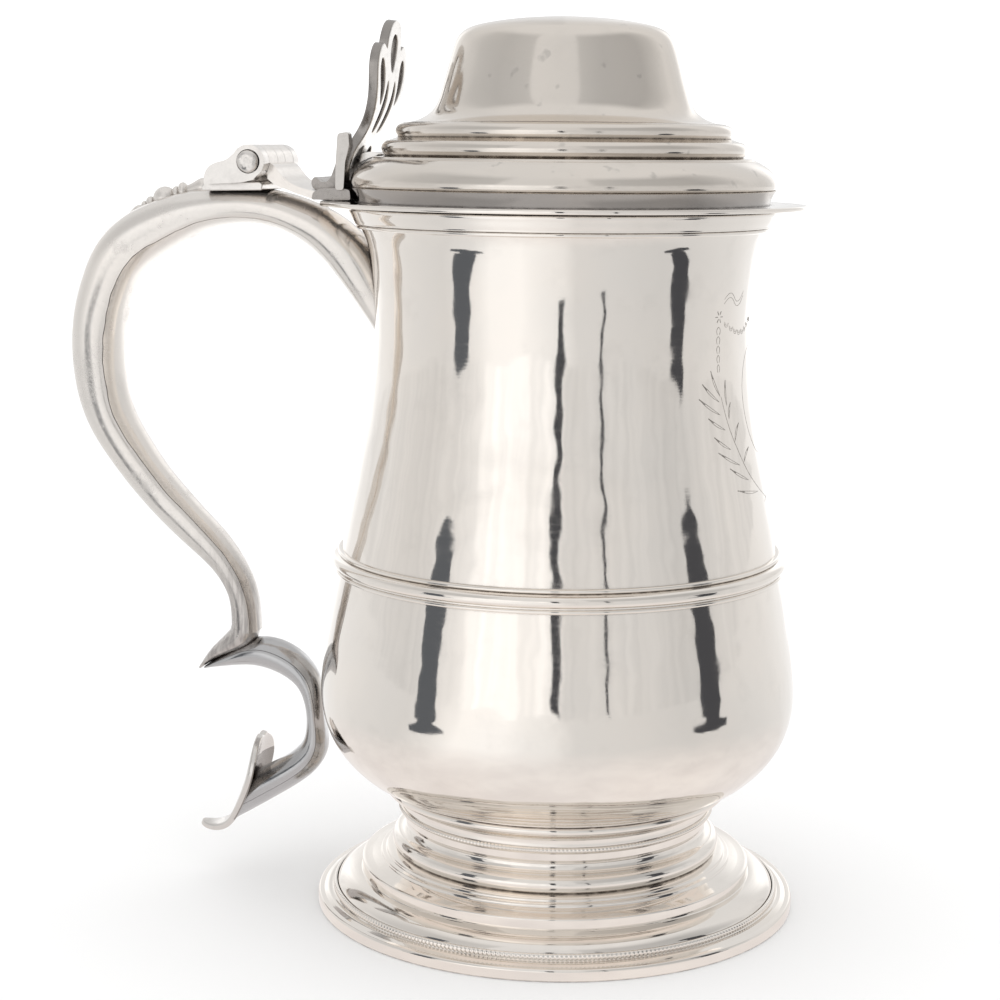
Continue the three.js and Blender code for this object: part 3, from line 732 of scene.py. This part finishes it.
def lid_cover():
    base = FLANGE_TOP
    outer = (
        fair([(48, base), (48.15, 169.6), (48.7, 170.8), (49.35, 171.7)], 4)
        + [(49.5, 171.85), (49.1, 172.1), (49.5, 172.3)]
        + fair([(49.5, 172.3), (49.75, 173.1), (49.5, 174.3), (48.7, 175.8), (47.3, 177.1), (45.6, 178.1),
                (44.9, 178.45)], 6)
        + eased([(44.9, 178.5), (44.5, 178.6), (44.35, 179), (42.4, 179.15), (41.6, 179.3)], 0.2)
        + arc(40.6, 181, 1.85, -62, 88, 16)
        + arc(37.4, 184.9, 1.8, -48, 86, 16)
        + fair([(37.3, 186.9), (36.2, 186.95), (34.9, 187.15), (33.2, 187.8), (31.6, 188.7), (30.2, 190),
                (29.2, 192), (28.4, 194.6), (27.5, 197.8), (26.5, 201.4), (25.6, 204.4), (24.6, 206.9),
                (22.4, 208.6), (18.5, 209.6), (12, 210.6), (5, 211.1), (0, LID_TOP)], 7)
    )
    inner = [
        (0, 209.9), (11, 209.3), (18.5, 208.1), (22.2, 206.4), (25.2, 199), (27.4, 192), (30.4, 187.4),
        (35.8, 185.3), (36.6, 181.6), (39.6, 180.4), (40.2, 177.8), (45.6, 175.8), (48, 172.5), (46.6, base),
    ]
    inside = fair(inner, 4)
    inside[-1] = (46.6, base)
    # the profile starts and ends on the axis, so that the open mouth stays open
    loop = outer[::-1] + inside[::-1]
    dents = dented([(0.16, 26), (0.06, 11), (0.02, 5)], 4.0)
    made = add_piece("lid_cover", turned(loop, LID_SIDES, dents), LID_METAL, 60, "lid", TONED)
    # painted reflection: the faces of the lowest band take the darker finish
    made.data.materials.append(BAND_REFLECTION_METAL)
    for face in made.data.polygons:
        if face.center.z < BAND_TOP * MM:
            face.material_index = 1


def lid_flange():
    edge = [(FLANGE_RADIUS, FLANGE_BOTTOM), (FLANGE_RADIUS, FLANGE_TOP)]
    outline = eased([(45.9, FLANGE_BOTTOM)] + edge + [(45.9, FLANGE_TOP)], 0.4, closed=True)
    add_piece("lid_flange", turned(outline), BODY_METAL, body="lid")


def lid_bezel():
    outline = eased(
        [(44.2, BEZEL_BOTTOM), (45.2, BEZEL_BOTTOM), (45.6, BEZEL_BOTTOM + 1), (46, FLANGE_TOP - 0.1),
         (44.2, FLANGE_TOP - 0.1)], 0.35, closed=True,
    )
    add_piece("lid_bezel", turned(outline), BODY_METAL, body="lid")


# ---- hinge

KNUCKLE = 3.9  # radius
PIN_HEAD = 2.6  # radius
PLAY = 0.18  # between one knuckle and the next


def lobe(start, end, steps=20):
    """A stretch of a knuckle's round outside."""
    return arc(HINGE_X, HINGE_Z, KNUCKLE, start, end, steps)


def by_pin(points):
    """An outline whose points are given by how far they are beyond the pin, and their height."""
    return [(HINGE_X + beyond, z) for beyond, z in points]


def end_knuckles():
    tail = [(-4.2, 178.8), (-5.6, 177.7), (-7.6, 177.4), (-9.6, 176.6), (-10.9, 174.6), (-10.8, 172.2)]
    outline = (
        by_pin([(-10.8, 172.2), (-2, 172.7), (1, 173.3)]) + lobe(-55, 152) + fair(by_pin(tail), 3)[:-1]
    )
    inner = BARREL_HALF - END_KNUCKLE
    hole = arc(HINGE_X, HINGE_Z, PIN_HEAD + 0.2, 0, 350, 35)
    add_plate("end_knuckle_near", outline, (-BARREL_HALF, -inner), CAST_METAL, 0.3, hole)
    add_plate("end_knuckle_far", outline, (inner, BARREL_HALF), CAST_METAL, 0.3, hole)


def middle_knuckle():
    outline = by_pin([(-3.4, 172.6), (3, 172.6)]) + lobe(-35, 215, 24)
    add_plate("middle_knuckle", outline, (-MID_HALF, MID_HALF), HANDLE_METAL, 0.2)


def lid_knuckles():
    near, far = MID_HALF + PLAY, BARREL_HALF - END_KNUCKLE - PLAY
    ring = lobe(0, 350, 35)
    add_plate("lid_knuckle_near", ring, (-far, -near), HANDLE_METAL, 0.2, body="lid")
    add_plate("lid_knuckle_far", ring, (near, far), HANDLE_METAL, 0.2, body="lid")


def hinge_pin():
    """The wire, hammered over at each end into an uneven domed head."""
    end = BARREL_HALF
    half = [(1.5, end - 1.2), (PIN_HEAD - 0.1, end - 0.9), (PIN_HEAD, end + 0.25), (2.55, end + 0.7),
            (2.2, end + 1.15), (1.5, end + 1.38), (0.7, end + 1.42), (0, end + 1.4)]
    half = [half[0]] + fair(half[1:], 4)
    profile = [(r, -y) for r, y in half][::-1] + half
    points, faces = turned(profile, 48)
    made = []
    for x, y, z in points:
        dent = 0.16 * wave((x, y, z), 1.1, 3) * max(0, (abs(z) - end) / 1.2)
        squash = 1 + 0.05 * wave((x, y, z), 2.4, 7)
        made.append((HINGE_X + x * squash, z + math.copysign(dent, z), HINGE_Z + y * squash))
    add_piece("hinge_pin", (made, faces), CAST_METAL, 50)


def hinge_strap():
    half = BARREL_HALF - END_KNUCKLE + SOLDER
    outline = by_pin(
        [(-12.4, 170.6), (2.2, 170.9), (2.4, 172.2), (1.6, 172.9), (-11.4, 172.9), (-12.6, 171.6)]
    )
    add_plate("hinge_strap", outline, (-half, half), CAST_METAL, 0.3)


def lid_hinge_arm():
    half = BARREL_HALF - END_KNUCKLE - 0.2
    root = HINGE_X + KNUCKLE - 0.5
    top = fair([(-50.4, 170.4), (-54, 170.4), (-58.2, 170.9), (-61.7, 171.9), (-64.1, 173.2), (-65.7, 175),
                (-66.8, 176.7), (root, 177.5)], 5)
    under = [(root, 173.6), (root + 1.4, 172.4), (-65, 171.5), (-61.8, 170.3), (-57.3, 168.9), (-50.4, 168.6)]
    add_plate("lid_hinge_arm", top + under, (-half, half), HANDLE_METAL, 0.35, body="lid")
    block = eased(
        [(-57.6, 168.9), (-57.2, 170.6), (-55.6, 171.5), (-50.6, 171.7), (-48.4, 171.2), (-48.2, 168.9)],
        0.5, closed=True,
    )
    half += 1.4
    add_plate("lid_arm_solder", block, (-half, half), EDGE_METAL, 0.4, body="lid", nodes=["lid_hinge_arm"])


# ---- thumbpiece

THUMB_SPINE = [
    (-51.35, 170.6), (-50.9, 173.5), (-50.3, 176.3), (-49.4, 179.3), (-47.9, 182.3), (-46.4, 184.8),
    (-44.3, 188.5), (-42.8, 192.5), (-42.2, 196), (-42, 200), (-41.7, 203.5), (-41.2, 207), (-40.7, 211),
]
THUMB_HALF = [
    (0, 0.1), (5, 0), (9, 0.3), (10, 2.6), (10, 6.2), (9.4, 10), (8, 12.6), (7.2, 14.6), (7.7, 17.4),
    (9.8, 21), (12.3, 25), (13.8, 29), (13.9, 32.4), (12.4, 35.2), (9.8, 36.2), (7.4, 35.1), (6.3, 34.6),
    (6.4, 37), (5.2, 39.8), (2.8, 41.3), (0, 41.6),
]
THUMB_HOLES = [
    [(0, 28.6), (2, 31), (3.3, 34.4), (2.9, 37.8), (0, 39.4), (-2.9, 37.8), (-3.3, 34.4), (-2, 31)],
    [(5.9, 20.8), (8.8, 23.6), (11.6, 28.2), (12, 31.6), (10, 33.8), (7.4, 31.8), (6, 27)],
    [(1.3, 14.6), (3.8, 15.4), (5, 20), (4.8, 26), (3.2, 29), (1.9, 26), (1.1, 20)],
    [(1.6, 2.4), (4.6, 2), (8, 3.8), (8.5, 7.2), (6.9, 10.2), (4, 12.4), (1.6, 11.8)],
]

def flat_plate(loops, thickness, rounding):
    """A mesh of a plate with holes and rounded edges, lying flat; the outer loop comes first."""
    curve = bpy.data.curves.new("outline", "CURVE")
    curve.dimensions = "2D"
    curve.fill_mode = "BOTH"
    curve.extrude = thickness / 2 - rounding
    curve.bevel_depth = rounding
    curve.bevel_resolution = 3
    for loop in loops:
        line = curve.splines.new("POLY")
        line.points.add(len(loop) - 1)
        for point, (y, s) in zip(line.points, loop):
            point.co = (y, s, 0, 1)
        line.use_cyclic_u = True
    holder = bpy.data.objects.new("outline", curve)
    bpy.context.scene.collection.objects.link(holder)
    bpy.context.view_layer.update()
    flat = bpy.data.meshes.new_from_object(holder.evaluated_get(bpy.context.evaluated_depsgraph_get()))
    bpy.data.objects.remove(holder)
    bpy.data.curves.remove(curve)
    shaped = bmesh.new()
    shaped.from_mesh(flat)
    bpy.data.meshes.remove(flat)
    bmesh.ops.remove_doubles(shaped, verts=shaped.verts, dist=1e-3)
    return shaped


def slice_up(shaped, normal, first, end, step):
    """Cuts a flat plate across at even steps, so that it can bend."""
    for cut in np.arange(first, end, step):
        parts = shaped.verts[:] + shaped.edges[:] + shaped.faces[:]
        bmesh.ops.bisect_plane(shaped, geom=parts, plane_co=Vector(normal) * cut, plane_no=normal)


def bent_plate(loops, spine, thickness, rounding, cup=0.0):
    """A pierced plate, its outline in y and length along the spine, then bent.

    cup curls its sides towards the left of the spine's travel. The third value returned holds the
    middles of the faces on the plate's narrow edges.
    """
    shaped = flat_plate(loops, thickness, rounding)
    place, length = bend(spine)
    slice_up(shaped, (0, 1, 0), 0.7, length, 0.7)
    slice_up(shaped, (1, 0, 0), -14.3, 15.0, 1.4)
    points = []
    for vertex in shaped.verts:
        y, s, out = vertex.co
        points.append(place(y, s, out - cup * y * y))
    shaped.normal_update()
    shaped.verts.index_update()
    faces = [tuple(v.index for v in f.verts) for f in shaped.faces]
    edges = [face for face, f in zip(faces, shaped.faces) if abs(f.normal.z) < 0.8]
    shaped.free()
    return points, faces, [face_middle(points, face) for face in edges]


def face_middle(points, face):
    """The mean of a face's corners."""
    return sum((Vector(points[k]) for k in face), Vector()) / len(face)


def darken(piece, places):
    """Gives the faces at some places, in millimetres, the tarnished finish of cast edges."""
    piece.data.materials.append(EDGE_METAL)
    tree = KDTree(len(places))
    for i, place in enumerate(places):
        tree.insert((place + Vector((AXIS_X, 0, 0))) * MM, i)
    tree.balance()
    for face in piece.data.polygons:
        if tree.find(face.center)[2] < 0.02 * MM:
            face.material_index = 1


def thumbpiece():
    mirror = [(-y, s) for y, s in THUMB_HALF[-2:0:-1]]
    loops = [closed_curve(THUMB_HALF + mirror)]
    for hole in THUMB_HOLES:
        loops.append(closed_curve(hole))
        if hole[0][0] > 0.5:
            loops.append(closed_curve([(-y, s) for y, s in hole[::-1]]))
    *mesh, sides = bent_plate(loops, THUMB_SPINE, 2.3, 0.3)
    darken(add_piece("thumbpiece", mesh, CAST_METAL, 45, "lid", TONED), sides)


def thumbpiece_mount():
    """What holds the thumbpiece: a wing at each side, the bracket in front and the tail behind."""
    cast = {"body": "lid", "slot": TONED}
    wing = eased([(-51.6, 171.2), (-51.5, 177), (-51, 184.2), (-48.4, 184.6), (-48.2, 181.4), (-49.2, 177.6),
                  (-49.6, 171.2)], 0.8, 5, True)
    for name, sides in (("thumbpiece_wing_near", (-12.6, -9.6)), ("thumbpiece_wing_far", (9.6, 12.6))):
        add_plate(name, wing, sides, WING_METAL, 0.3, nodes=["thumbpiece"], **cast)
    bracket = fair([(-53, 170.6), (-56, 170.6), (-58.3, 171), (-59, 172.4), (-58.6, 173.9), (-57.6, 174.2),
                    (-57.2, 173.4), (-56.2, 172.7), (-54.9, 173), (-53.9, 174.4), (-53.2, 176.6),
                    (-52.3, 178.8), (-51.3, 180.4), (-50.7, 179.8), (-51.5, 177.2), (-52.3, 174)], 3)
    add_plate("thumbpiece_bracket", bracket, (-7, 7), EDGE_METAL, 0.25, **cast)
    tail = fair([(-50.3, 176), (-48.4, 177.2), (-46.4, 178.3), (-44.8, 178.9), (-43.4, 179.2), (-43.5, 180),
                 (-45.6, 180.1), (-47.3, 179.7), (-49.3, 178.6)], 3)
    add_plate("thumbpiece_tail", tail, (-4, 4), CAST_METAL, 0.25, **cast)


# ---- handle

UPPER = Scroll([
    (-41.5, 139, 6, 3.6), (-44.8, 146, 8, 4.6), (-48, 151.9, 9, 5.4), (-52.3, 157.2, 9, 5.4),
    (-57.5, 161.6, 9, 5), (-62.5, 164.2, 9, 4.6), (-69, 166.4, 9, 4.3), (-77, 167.2, 8.9, 4.3),
    (-85, 166.4, 8.8, 4.8), (-91.8, 164.6, 8.6, 5.6), (-98.4, 161.8, 8.5, 6.3), (-105, 158.3, 8.4, 6.6),
    (-109.4, 153.3, 8.3, 6.5), (-112, 147.4, 8.2, 6.3), (-114.1, 141.3, 8.1, 6.2), (-115.2, 132, 8, 6.1),
    (-114.3, 121.5, 7.8, 5.8), (-112.2, 114.8, 7.5, 5.5), (-108.5, 108.6, 7.2, 5.1), (-101.6, 99, 6.8, 4.7),
    (-94, 91, 6.5, 4.6), (-86.4, 84.2, 6.2, 4.1), (-81.8, 79, 5.9, 3.5), (-78.7, 73, 5.6, 3.2),
    (-77.9, 68, 5.5, 3.3), (-77.8, 62.8, 5.5, 3.5),
], 9)
LOWER = Scroll([
    (-88.6, 52.7, 2, 0.3), (-84, 54.7, 3.8, 1.5), (-80, 56.2, 4.6, 2.5), (-75, 57.7, 5, 3.8),
    (-70.1, 56.8, 5.2, 3.9), (-65.3, 54.4, 5.3, 3.7), (-61.8, 50.8, 5.3, 3), (-60.6, 46, 5.2, 2.2),
    (-60.2, 41.6, 5.1, 2.1), (-60, 37.4, 5.1, 2.6), (-60.4, 33.8, 5.2, 3.3), (-62.4, 30.7, 5.3, 3.7),
    (-66, 27.8, 5.4, 3.8), (-70.8, 25, 5.5, 4), (-76, 22, 5.6, 4.2), (-81, 19.1, 5.6, 4.3),
    (-86, 16.2, 5.6, 4.3),
], 10)
SHIELD_SPINE = [
    (-90.6, 12.7), (-88.5, 11.9), (-85.9, 12), (-83.2, 13.1), (-81.3, 15.2), (-79.9, 18), (-78.1, 22.4),
    (-76.5, 27.2), (-75.5, 32), (-74.2, 36.8),
]
SEAM = 28  # degrees below the section's widest part


def outside_body(point):
    """Keeps a point from reaching through the body's wall to its inside."""
    x, y, z = point
    if z < 34:
        return point
    radius, least = math.hypot(x, y), body_radius(z) - SOLDER
    if radius >= least:
        return point
    return (x * least / radius, y * least / radius, z)


def shield_at(z):
    """Where the shield's middle is at a height."""
    rising = SHIELD_SPINE[1:]
    return float(np.interp(z, [p[1] for p in rising], [p[0] for p in rising]))


def inside_shield(point):
    """Keeps a point of the lower scroll's end from reaching through the shield that closes it."""
    x, y, z = point
    if x > -72 or z > 40:
        return point
    return (max(x, shield_at(z) + 0.2), y, z)


def uneven(depth, scale, seed):
    """Hand-worked unevenness for the handle."""

    def shape(point):
        p = Vector(point)
        push = Vector((wave(p, scale, seed), wave(p, scale, seed + 3), wave(p, scale, seed + 6))) * depth
        return outside_body(tuple(p + push))

    return shape


def seam_angle(i):
    """The seam wanders a little along the upper handle."""
    run = UPPER.run[i]
    return SEAM + 4.5 * wave((run, 0, 0), 13, 2) + 2 * wave((run, 0, 0), 3.6, 4)


def squared(points, power=2.5):
    """A unit circle's points drawn out a little towards the corners."""
    return [tuple(math.copysign(abs(c) ** (2 / power), c) for c in p) for p in points]


def back_loop(i):
    """The bent shell of the hollow upper handle, its edges turned in along the seam."""
    seam = seam_angle(i)
    outer = squared(arc(0, 0, 1, -seam, 180 + seam, 56))
    return outer + [(0.84 * u, 0.84 * v) for u, v in squared(arc(0, 0, 1, 180 + seam, -seam, 20))]


def strip_section(half, level, depth, steps, sink, hollow):
    """The strip that closes a hollow bar, set a little inside the shell's edges."""
    across = np.linspace(-1, 1, steps)
    under = [(u * half, level - depth * (1 - abs(u) ** 2.6)) for u in across]
    return under + [(u * half * 0.96, level + sink - hollow * (1 - u * u)) for u in across[::-1]]


def strip_loop(i):
    """The upper handle's strip, which follows the seam."""
    seam = math.radians(seam_angle(i) + 1.5)
    half, level = squared([(math.cos(seam), -math.sin(seam))])[0]
    depth = (1 + level) * 0.92
    return strip_section(half * 0.985, level, depth, 25, 0.12, depth * 0.8)


def upper_handle():
    shape = uneven(0.14, 11, 1)
    add_piece("handle_back", UPPER.bar(back_loop, shape), HANDLE_METAL, 50)
    add_piece("handle_strip", UPPER.bar(strip_loop, shape), HANDLE_METAL, 50)


def lower_handle():
    rough = uneven(0.1, 8, 5)

    def shape(point):
        return inside_shield(rough(point))

    def loop(i):
        return arc(0, 0, 1, -20, 200, 44) + arc(0, 0, 0.8, 200, -20, 16)

    def strip(i):
        seam = math.radians(21.5)
        return strip_section(math.cos(seam) * 0.985, -math.sin(seam), 0.62, 21, 0.14, 0.5)

    add_piece("lower_scroll", LOWER.bar(loop, shape), SCROLL_METAL, 50)
    add_piece("lower_scroll_strip", LOWER.bar(strip, shape), SCROLL_METAL, 50, nodes=["lower_scroll"])


def handle_spur():
    spur = Scroll([
        (-78.2, 63.6, 5.6, 3.4), (-78.3, 62.2, 5.6, 3.5), (-79.6, 60.6, 5.3, 3.3), (-82.5, 58.8, 4.7, 2.5),
        (-85.4, 57, 3.9, 1.7), (-87.8, 54.9, 2.8, 0.95), (-90.2, 52.4, 0.9, 0.3),
    ], 8)
    mesh = spur.bar(lambda i: arc(0, 0, 1, 0, 352.5, 47), uneven(0.05, 6, 8))
    add_piece("handle_spur", mesh, HANDLE_METAL, 50)


def handle_terminal():
    half = [(0, 31.6), (1.6, 32.8), (3.8, 31.6), (6, 30.6), (8.1, 27.8), (8.8, 23.4), (7.8, 18.6), (6.3, 14),
            (4.7, 9.3), (2.9, 4.8), (1.4, 1.6), (0, 0.4)]
    mirror = [(-y, s) for y, s in half[-2:0:-1]]
    points, faces, _ = bent_plate([closed_curve(half + mirror)], SHIELD_SPINE, 1.6, 0.45, cup=-0.02)
    made = add_piece("handle_terminal", (points, faces), CAST_METAL, 45)
    centres = [face_middle(points, face) for face in faces]
    darken(made, [c for c in centres if 15 < c.z < 31 and c.x > shield_at(c.z) + 0.4 + 0.02 * c.y * c.y])


def handle_drop():
    """Ring, ball and beads running down the handle's back to a point."""
    profile = (
        fair([(0, 0), (1.5, 0), (2.3, 0.6), (2.5, 1.8), (2.1, 3), (1.7, 4.2), (1.45, 5.6)], 4)
        + arc(1.6, 6.6, 0.9, -70, 70, 8) + arc(1.3, 8.4, 0.75, -60, 60, 8)
        + fair([(1.6, 9.3), (2.4, 9.8), (3.05, 11), (3.1, 12.3), (2.6, 13.5), (1.7, 14.2)], 5)
        + arc(1.2, 15.3, 0.95, -65, 65, 8) + arc(1.0, 17, 0.8, -60, 60, 8)
        + fair([(1.2, 17.9), (1.7, 18.5), (1.75, 19.4), (1.4, 20.6), (1.1, 22.6), (0.85, 24.8), (0, 27.4)], 5)
    )
    profile[-1] = (0, 27.4)
    place, _ = bend([(-86, 171.4), (-93.2, 169.9), (-101.2, 166.8), (-107.8, 162.7), (-111.8, 158.8)])
    points, faces = turned(profile, 40)
    made = [place(across, length, out) for across, out, length in points]
    add_piece("handle_drop", (made, faces), HANDLE_METAL, 60, slot=TONED)


# ---- studio

VIEW_AZIMUTH = 9.0  # degrees from the -Y side towards +X
VIEW_DISTANCE = 512.0
VIEW_HEIGHT = 183.0
VIEW_PITCH = 9.42
VIEW_YAW = 1.58
VIEW_ROLL = 0.0085  # radians
LENS = 78.12


def add_camera():
    """The camera, a little above the lid's edge and looking down."""
    azimuth = math.radians(VIEW_AZIMUTH)
    yaw = Matrix.Rotation(math.radians(VIEW_YAW), 3, "Z")
    ahead = yaw @ Vector((-math.sin(azimuth), math.cos(azimuth), 0))
    right = Vector((ahead.y, -ahead.x, 0))
    pitch = math.radians(VIEW_PITCH)
    forward = math.cos(pitch) * ahead - Vector((0, 0, math.sin(pitch)))
    up = math.sin(pitch) * ahead + Vector((0, 0, math.cos(pitch)))
    right, up = (right + VIEW_ROLL * up).normalized(), (up - VIEW_ROLL * right).normalized()
    data = bpy.data.cameras.new("camera")
    data.sensor_width = 36
    data.lens = LENS
    data.clip_start = 0.05
    made = bpy.data.objects.new("camera", data)
    bpy.context.scene.collection.objects.link(made)
    turn = Matrix((right, up, -forward)).transposed().to_4x4()
    place = Vector((
        AXIS_X + VIEW_DISTANCE * math.sin(azimuth), -VIEW_DISTANCE * math.cos(azimuth), VIEW_HEIGHT
    )) * MM
    made.matrix_world = Matrix.Translation(place) @ turn
    bpy.context.scene.camera = made


def towards(angle):
    """A level direction, in degrees to the right of the direction from tankard to camera."""
    a = math.radians(VIEW_AZIMUTH + angle)
    return Vector((math.sin(a), -math.cos(a), 0))


# How bright the white tent round the tankard looks from it, by degrees to the right of the camera.
TENT = [
    (-180, 0.85), (-170, 0.9), (-160, 1.3), (-149, 0.92), (-125, 0.84), (-95, 0.76), (-72, 0.72), (-57, 0.84),
    (-47, 1.0), (-39, 1.22), (-24, 1.22), (-14, 1.04), (-7, 1.1), (0, 1.03), (2, 0.73), (20, 0.76),
    (45, 0.72), (66, 0.65), (85, 0.72), (110, 0.78), (140, 0.78), (150, 0.95), (160, 1.4), (172, 0.9),
]
# The same for the floor beyond a hand's width, with its edges softer.
FLOOR_TONE = [
    (-180, 1.45), (-157, 1.3), (-142, 0.95), (-100, 0.82), (-72, 0.76), (-56, 0.86), (-42, 1.1), (-24, 1.12),
    (-12, 1.0), (0, 0.92), (8, 0.78), (25, 0.76), (60, 0.7), (85, 0.75), (120, 0.84), (150, 1.0), (163, 1.45),
]
# And for the tent's sloping cover.
COVER = [
    (-180, 0.72), (-165, 0.8), (-125, 0.78), (-100, 0.64), (-70, 0.58), (-36, 0.64), (-34, 0.82), (14, 0.78),
    (17, 0.62), (40, 0.55), (85, 0.5), (105, 0.62), (122, 0.82), (165, 0.8),
]
OVERHEAD = 0.84
WHITE = 1.3  # the light on everything that doesn't mirror
DARK_LEFT = (0.115, 0.125, 0.14)
DARK_RIGHT = (0.07, 0.072, 0.08)


def glow_round(n, way, glows):
    """The brightness listed for a direction, and that direction's angle as a share of a turn."""
    sums = []
    for direction in (towards(90), towards(0)):
        sums.append(n.vector("DOT_PRODUCT", way, direction).outputs["Value"])
    turn = n.maths("MULTIPLY", n.maths("ARCTAN2", sums[0], sums[1]), 0.5 / math.pi)
    share = n.maths("ADD", turn, 0.5)
    ramp = n.add("ShaderNodeValToRGB")
    stops = ramp.color_ramp.elements
    while len(stops) < len(glows):
        stops.new(0.5)
    for stop, (angle, glow) in zip(stops, glows):
        stop.position = angle / 360 + 0.5
        stop.color = (glow, glow, glow, 1)
    n.join(share, ramp.inputs["Fac"])
    return ramp.outputs["Color"], share


def sheet(name, points, colour):
    """A flat upright card that only the metal sees."""
    corners = [tuple(Vector(p) * MM) for p in points]
    made = mesh_object(name, corners, [tuple(range(len(points)))], glow_card(name, colour))
    made.visible_camera = False
    made.visible_diffuse = False
    made.visible_shadow = False


def upright(angle, distance, outline):
    """An outline of steps to the right and heights, stood up at a distance and facing the tankard."""
    middle = towards(angle) * distance + Vector((AXIS_X, 0, 0))
    side = Vector((0, 0, 1)).cross(towards(angle))
    return [middle - side * step + Vector((0, 0, height)) for step, height in outline]


def add_flags():
    """Dark upright cards on feet, and the gaps in the tent that the tankard mirrors as dark lines."""
    foot = [(-38, 10), (-16, 4), (20, 6), (40, 9), (41, 20), (16, 26), (16, 32), (23, 34)]
    top = [(22, 80), (25, 100), (21, 122), (4, 133), (-24, 125), (-23, 60), (-22, 33), (-14, 28), (-38, 17)]
    sheet("flag_left", upright(-56.5, 250, foot + top), DARK_LEFT)
    top = [(23, 90), (30, 96), (31, 124), (8, 136), (-3, 133), (-25, 104), (-24, 50), (-20, 26), (-40, 22)]
    sheet("flag_right", upright(69.8, 250, foot + top), DARK_RIGHT)
    for name, angle, half, foot_height in (("gap_middle", -1.5, 18, 56), ("gap_right", 22.5, 8, 50)):
        lines = [(-half, foot_height), (half * 0.4, foot_height + 10), (half, 250), (-half * 0.8, 262)]
        sheet(name, upright(angle, 450, lines), DARK_RIGHT)


def add_floor():
    """A pale floor. The metal sees it fade towards the tent's own tone."""
    n = Nodes(bpy.data.materials.new("floor"))
    at = n.place()
    middle = n.vector("SUBTRACT", at, (AXIS_X * MM, 0, 0)).outputs[0]
    away = n.vector("LENGTH", middle)
    tent, _ = glow_round(n, middle, FLOOR_TONE)
    reached = n.spread(away.outputs["Value"], 0.06, 0.22)
    crumpled = n.spread(n.noise(at, 26.0, 4.0, 0.6), 0.3, 0.7)
    near = n.mix(crumpled, (0.85, 0.81, 0.8, 1), (0.95, 0.915, 0.9, 1))
    mirrored = n.filled("ShaderNodeEmission", Color=n.mix(reached, near, tent))
    paint = n.filled("ShaderNodeBsdfPrincipled", Base_Color=(0.93, 0.93, 0.93, 1), Roughness=0.7)
    paint.inputs["Specular IOR Level"].default_value = 0.1
    both = n.add("ShaderNodeMixShader")
    n.join(n.add("ShaderNodeLightPath").outputs["Is Glossy Ray"], both.inputs[0])
    n.join(paint.outputs[0], both.inputs[1])
    n.join(mirrored.outputs[0], both.inputs[2])
    corners = [(-4, -4, 0), (4, -4, 0), (4, 4, 0), (-4, 4, 0)]
    mesh_object("floor", corners, [(0, 1, 2, 3)], n.finish(both))


def tent_glow(n, way):
    """The tent: its walls with soft folds, then its sloping cover, then what is overhead."""
    split = n.add("ShaderNodeSeparateXYZ")
    n.join(way, split.inputs[0])
    height = split.outputs["Z"]
    level, share = glow_round(n, way, TENT)
    folds_at = n.filled("ShaderNodeCombineXYZ", X=n.maths("MULTIPLY", share, 60.0), Y=height)
    folds = n.spread(n.noise(folds_at.outputs[0], 1.0, 3.0, 0.6), 0.3, 0.7, 0.93, 1.06)
    scaled = n.vector("SCALE", level)
    n.join(folds, scaled.inputs["Scale"])
    behind = n.vector("DOT_PRODUCT", way, towards(180)).outputs["Value"]
    higher = n.spread(behind, 0.6, 0.9, 0.0, 0.06)
    above = n.spread(n.maths("SUBTRACT", height, higher), 0.16, 0.42, 0.0, 1.0)
    cover, _ = glow_round(n, way, COVER)
    top = n.spread(height, 0.72, 0.92, 0.0, 1.0)
    cover = n.mix(top, cover, (OVERHEAD, OVERHEAD, OVERHEAD, 1))
    return n.mix(above, scaled.outputs[0], cover)


def add_studio():
    """The world is a white tent for the metal to mirror, and even white light for everything else."""
    world = bpy.data.worlds.new("studio")
    scene = bpy.context.scene
    scene.world = world
    n = Nodes(world)
    tent = tent_glow(n, n.add("ShaderNodeTexCoord").outputs["Generated"])
    seen = n.add("ShaderNodeLightPath")
    direct = n.maths("MAXIMUM", seen.outputs["Is Camera Ray"], seen.outputs["Is Diffuse Ray"])
    glow = n.filled("ShaderNodeBackground", Color=n.mix(direct, tent, (WHITE, WHITE, WHITE, 1)))
    n.finish(glow, "ShaderNodeOutputWorld")
    add_floor()
    add_flags()
    scene.view_settings.view_transform = "Standard"
    scene.view_settings.look = "None"


# ---- assembly

add_camera()
body_shell()
lip_moulding()
mid_band()
foot_collar()
foot_shell()
foot_rim()
engraving()
lid_cover()
lid_flange()
lid_bezel()
end_knuckles()
middle_knuckle()
lid_knuckles()
hinge_pin()
hinge_strap()
lid_hinge_arm()
thumbpiece()
thumbpiece_mount()
upper_handle()
lower_handle()
handle_spur()
handle_terminal()
handle_drop()
add_studio()
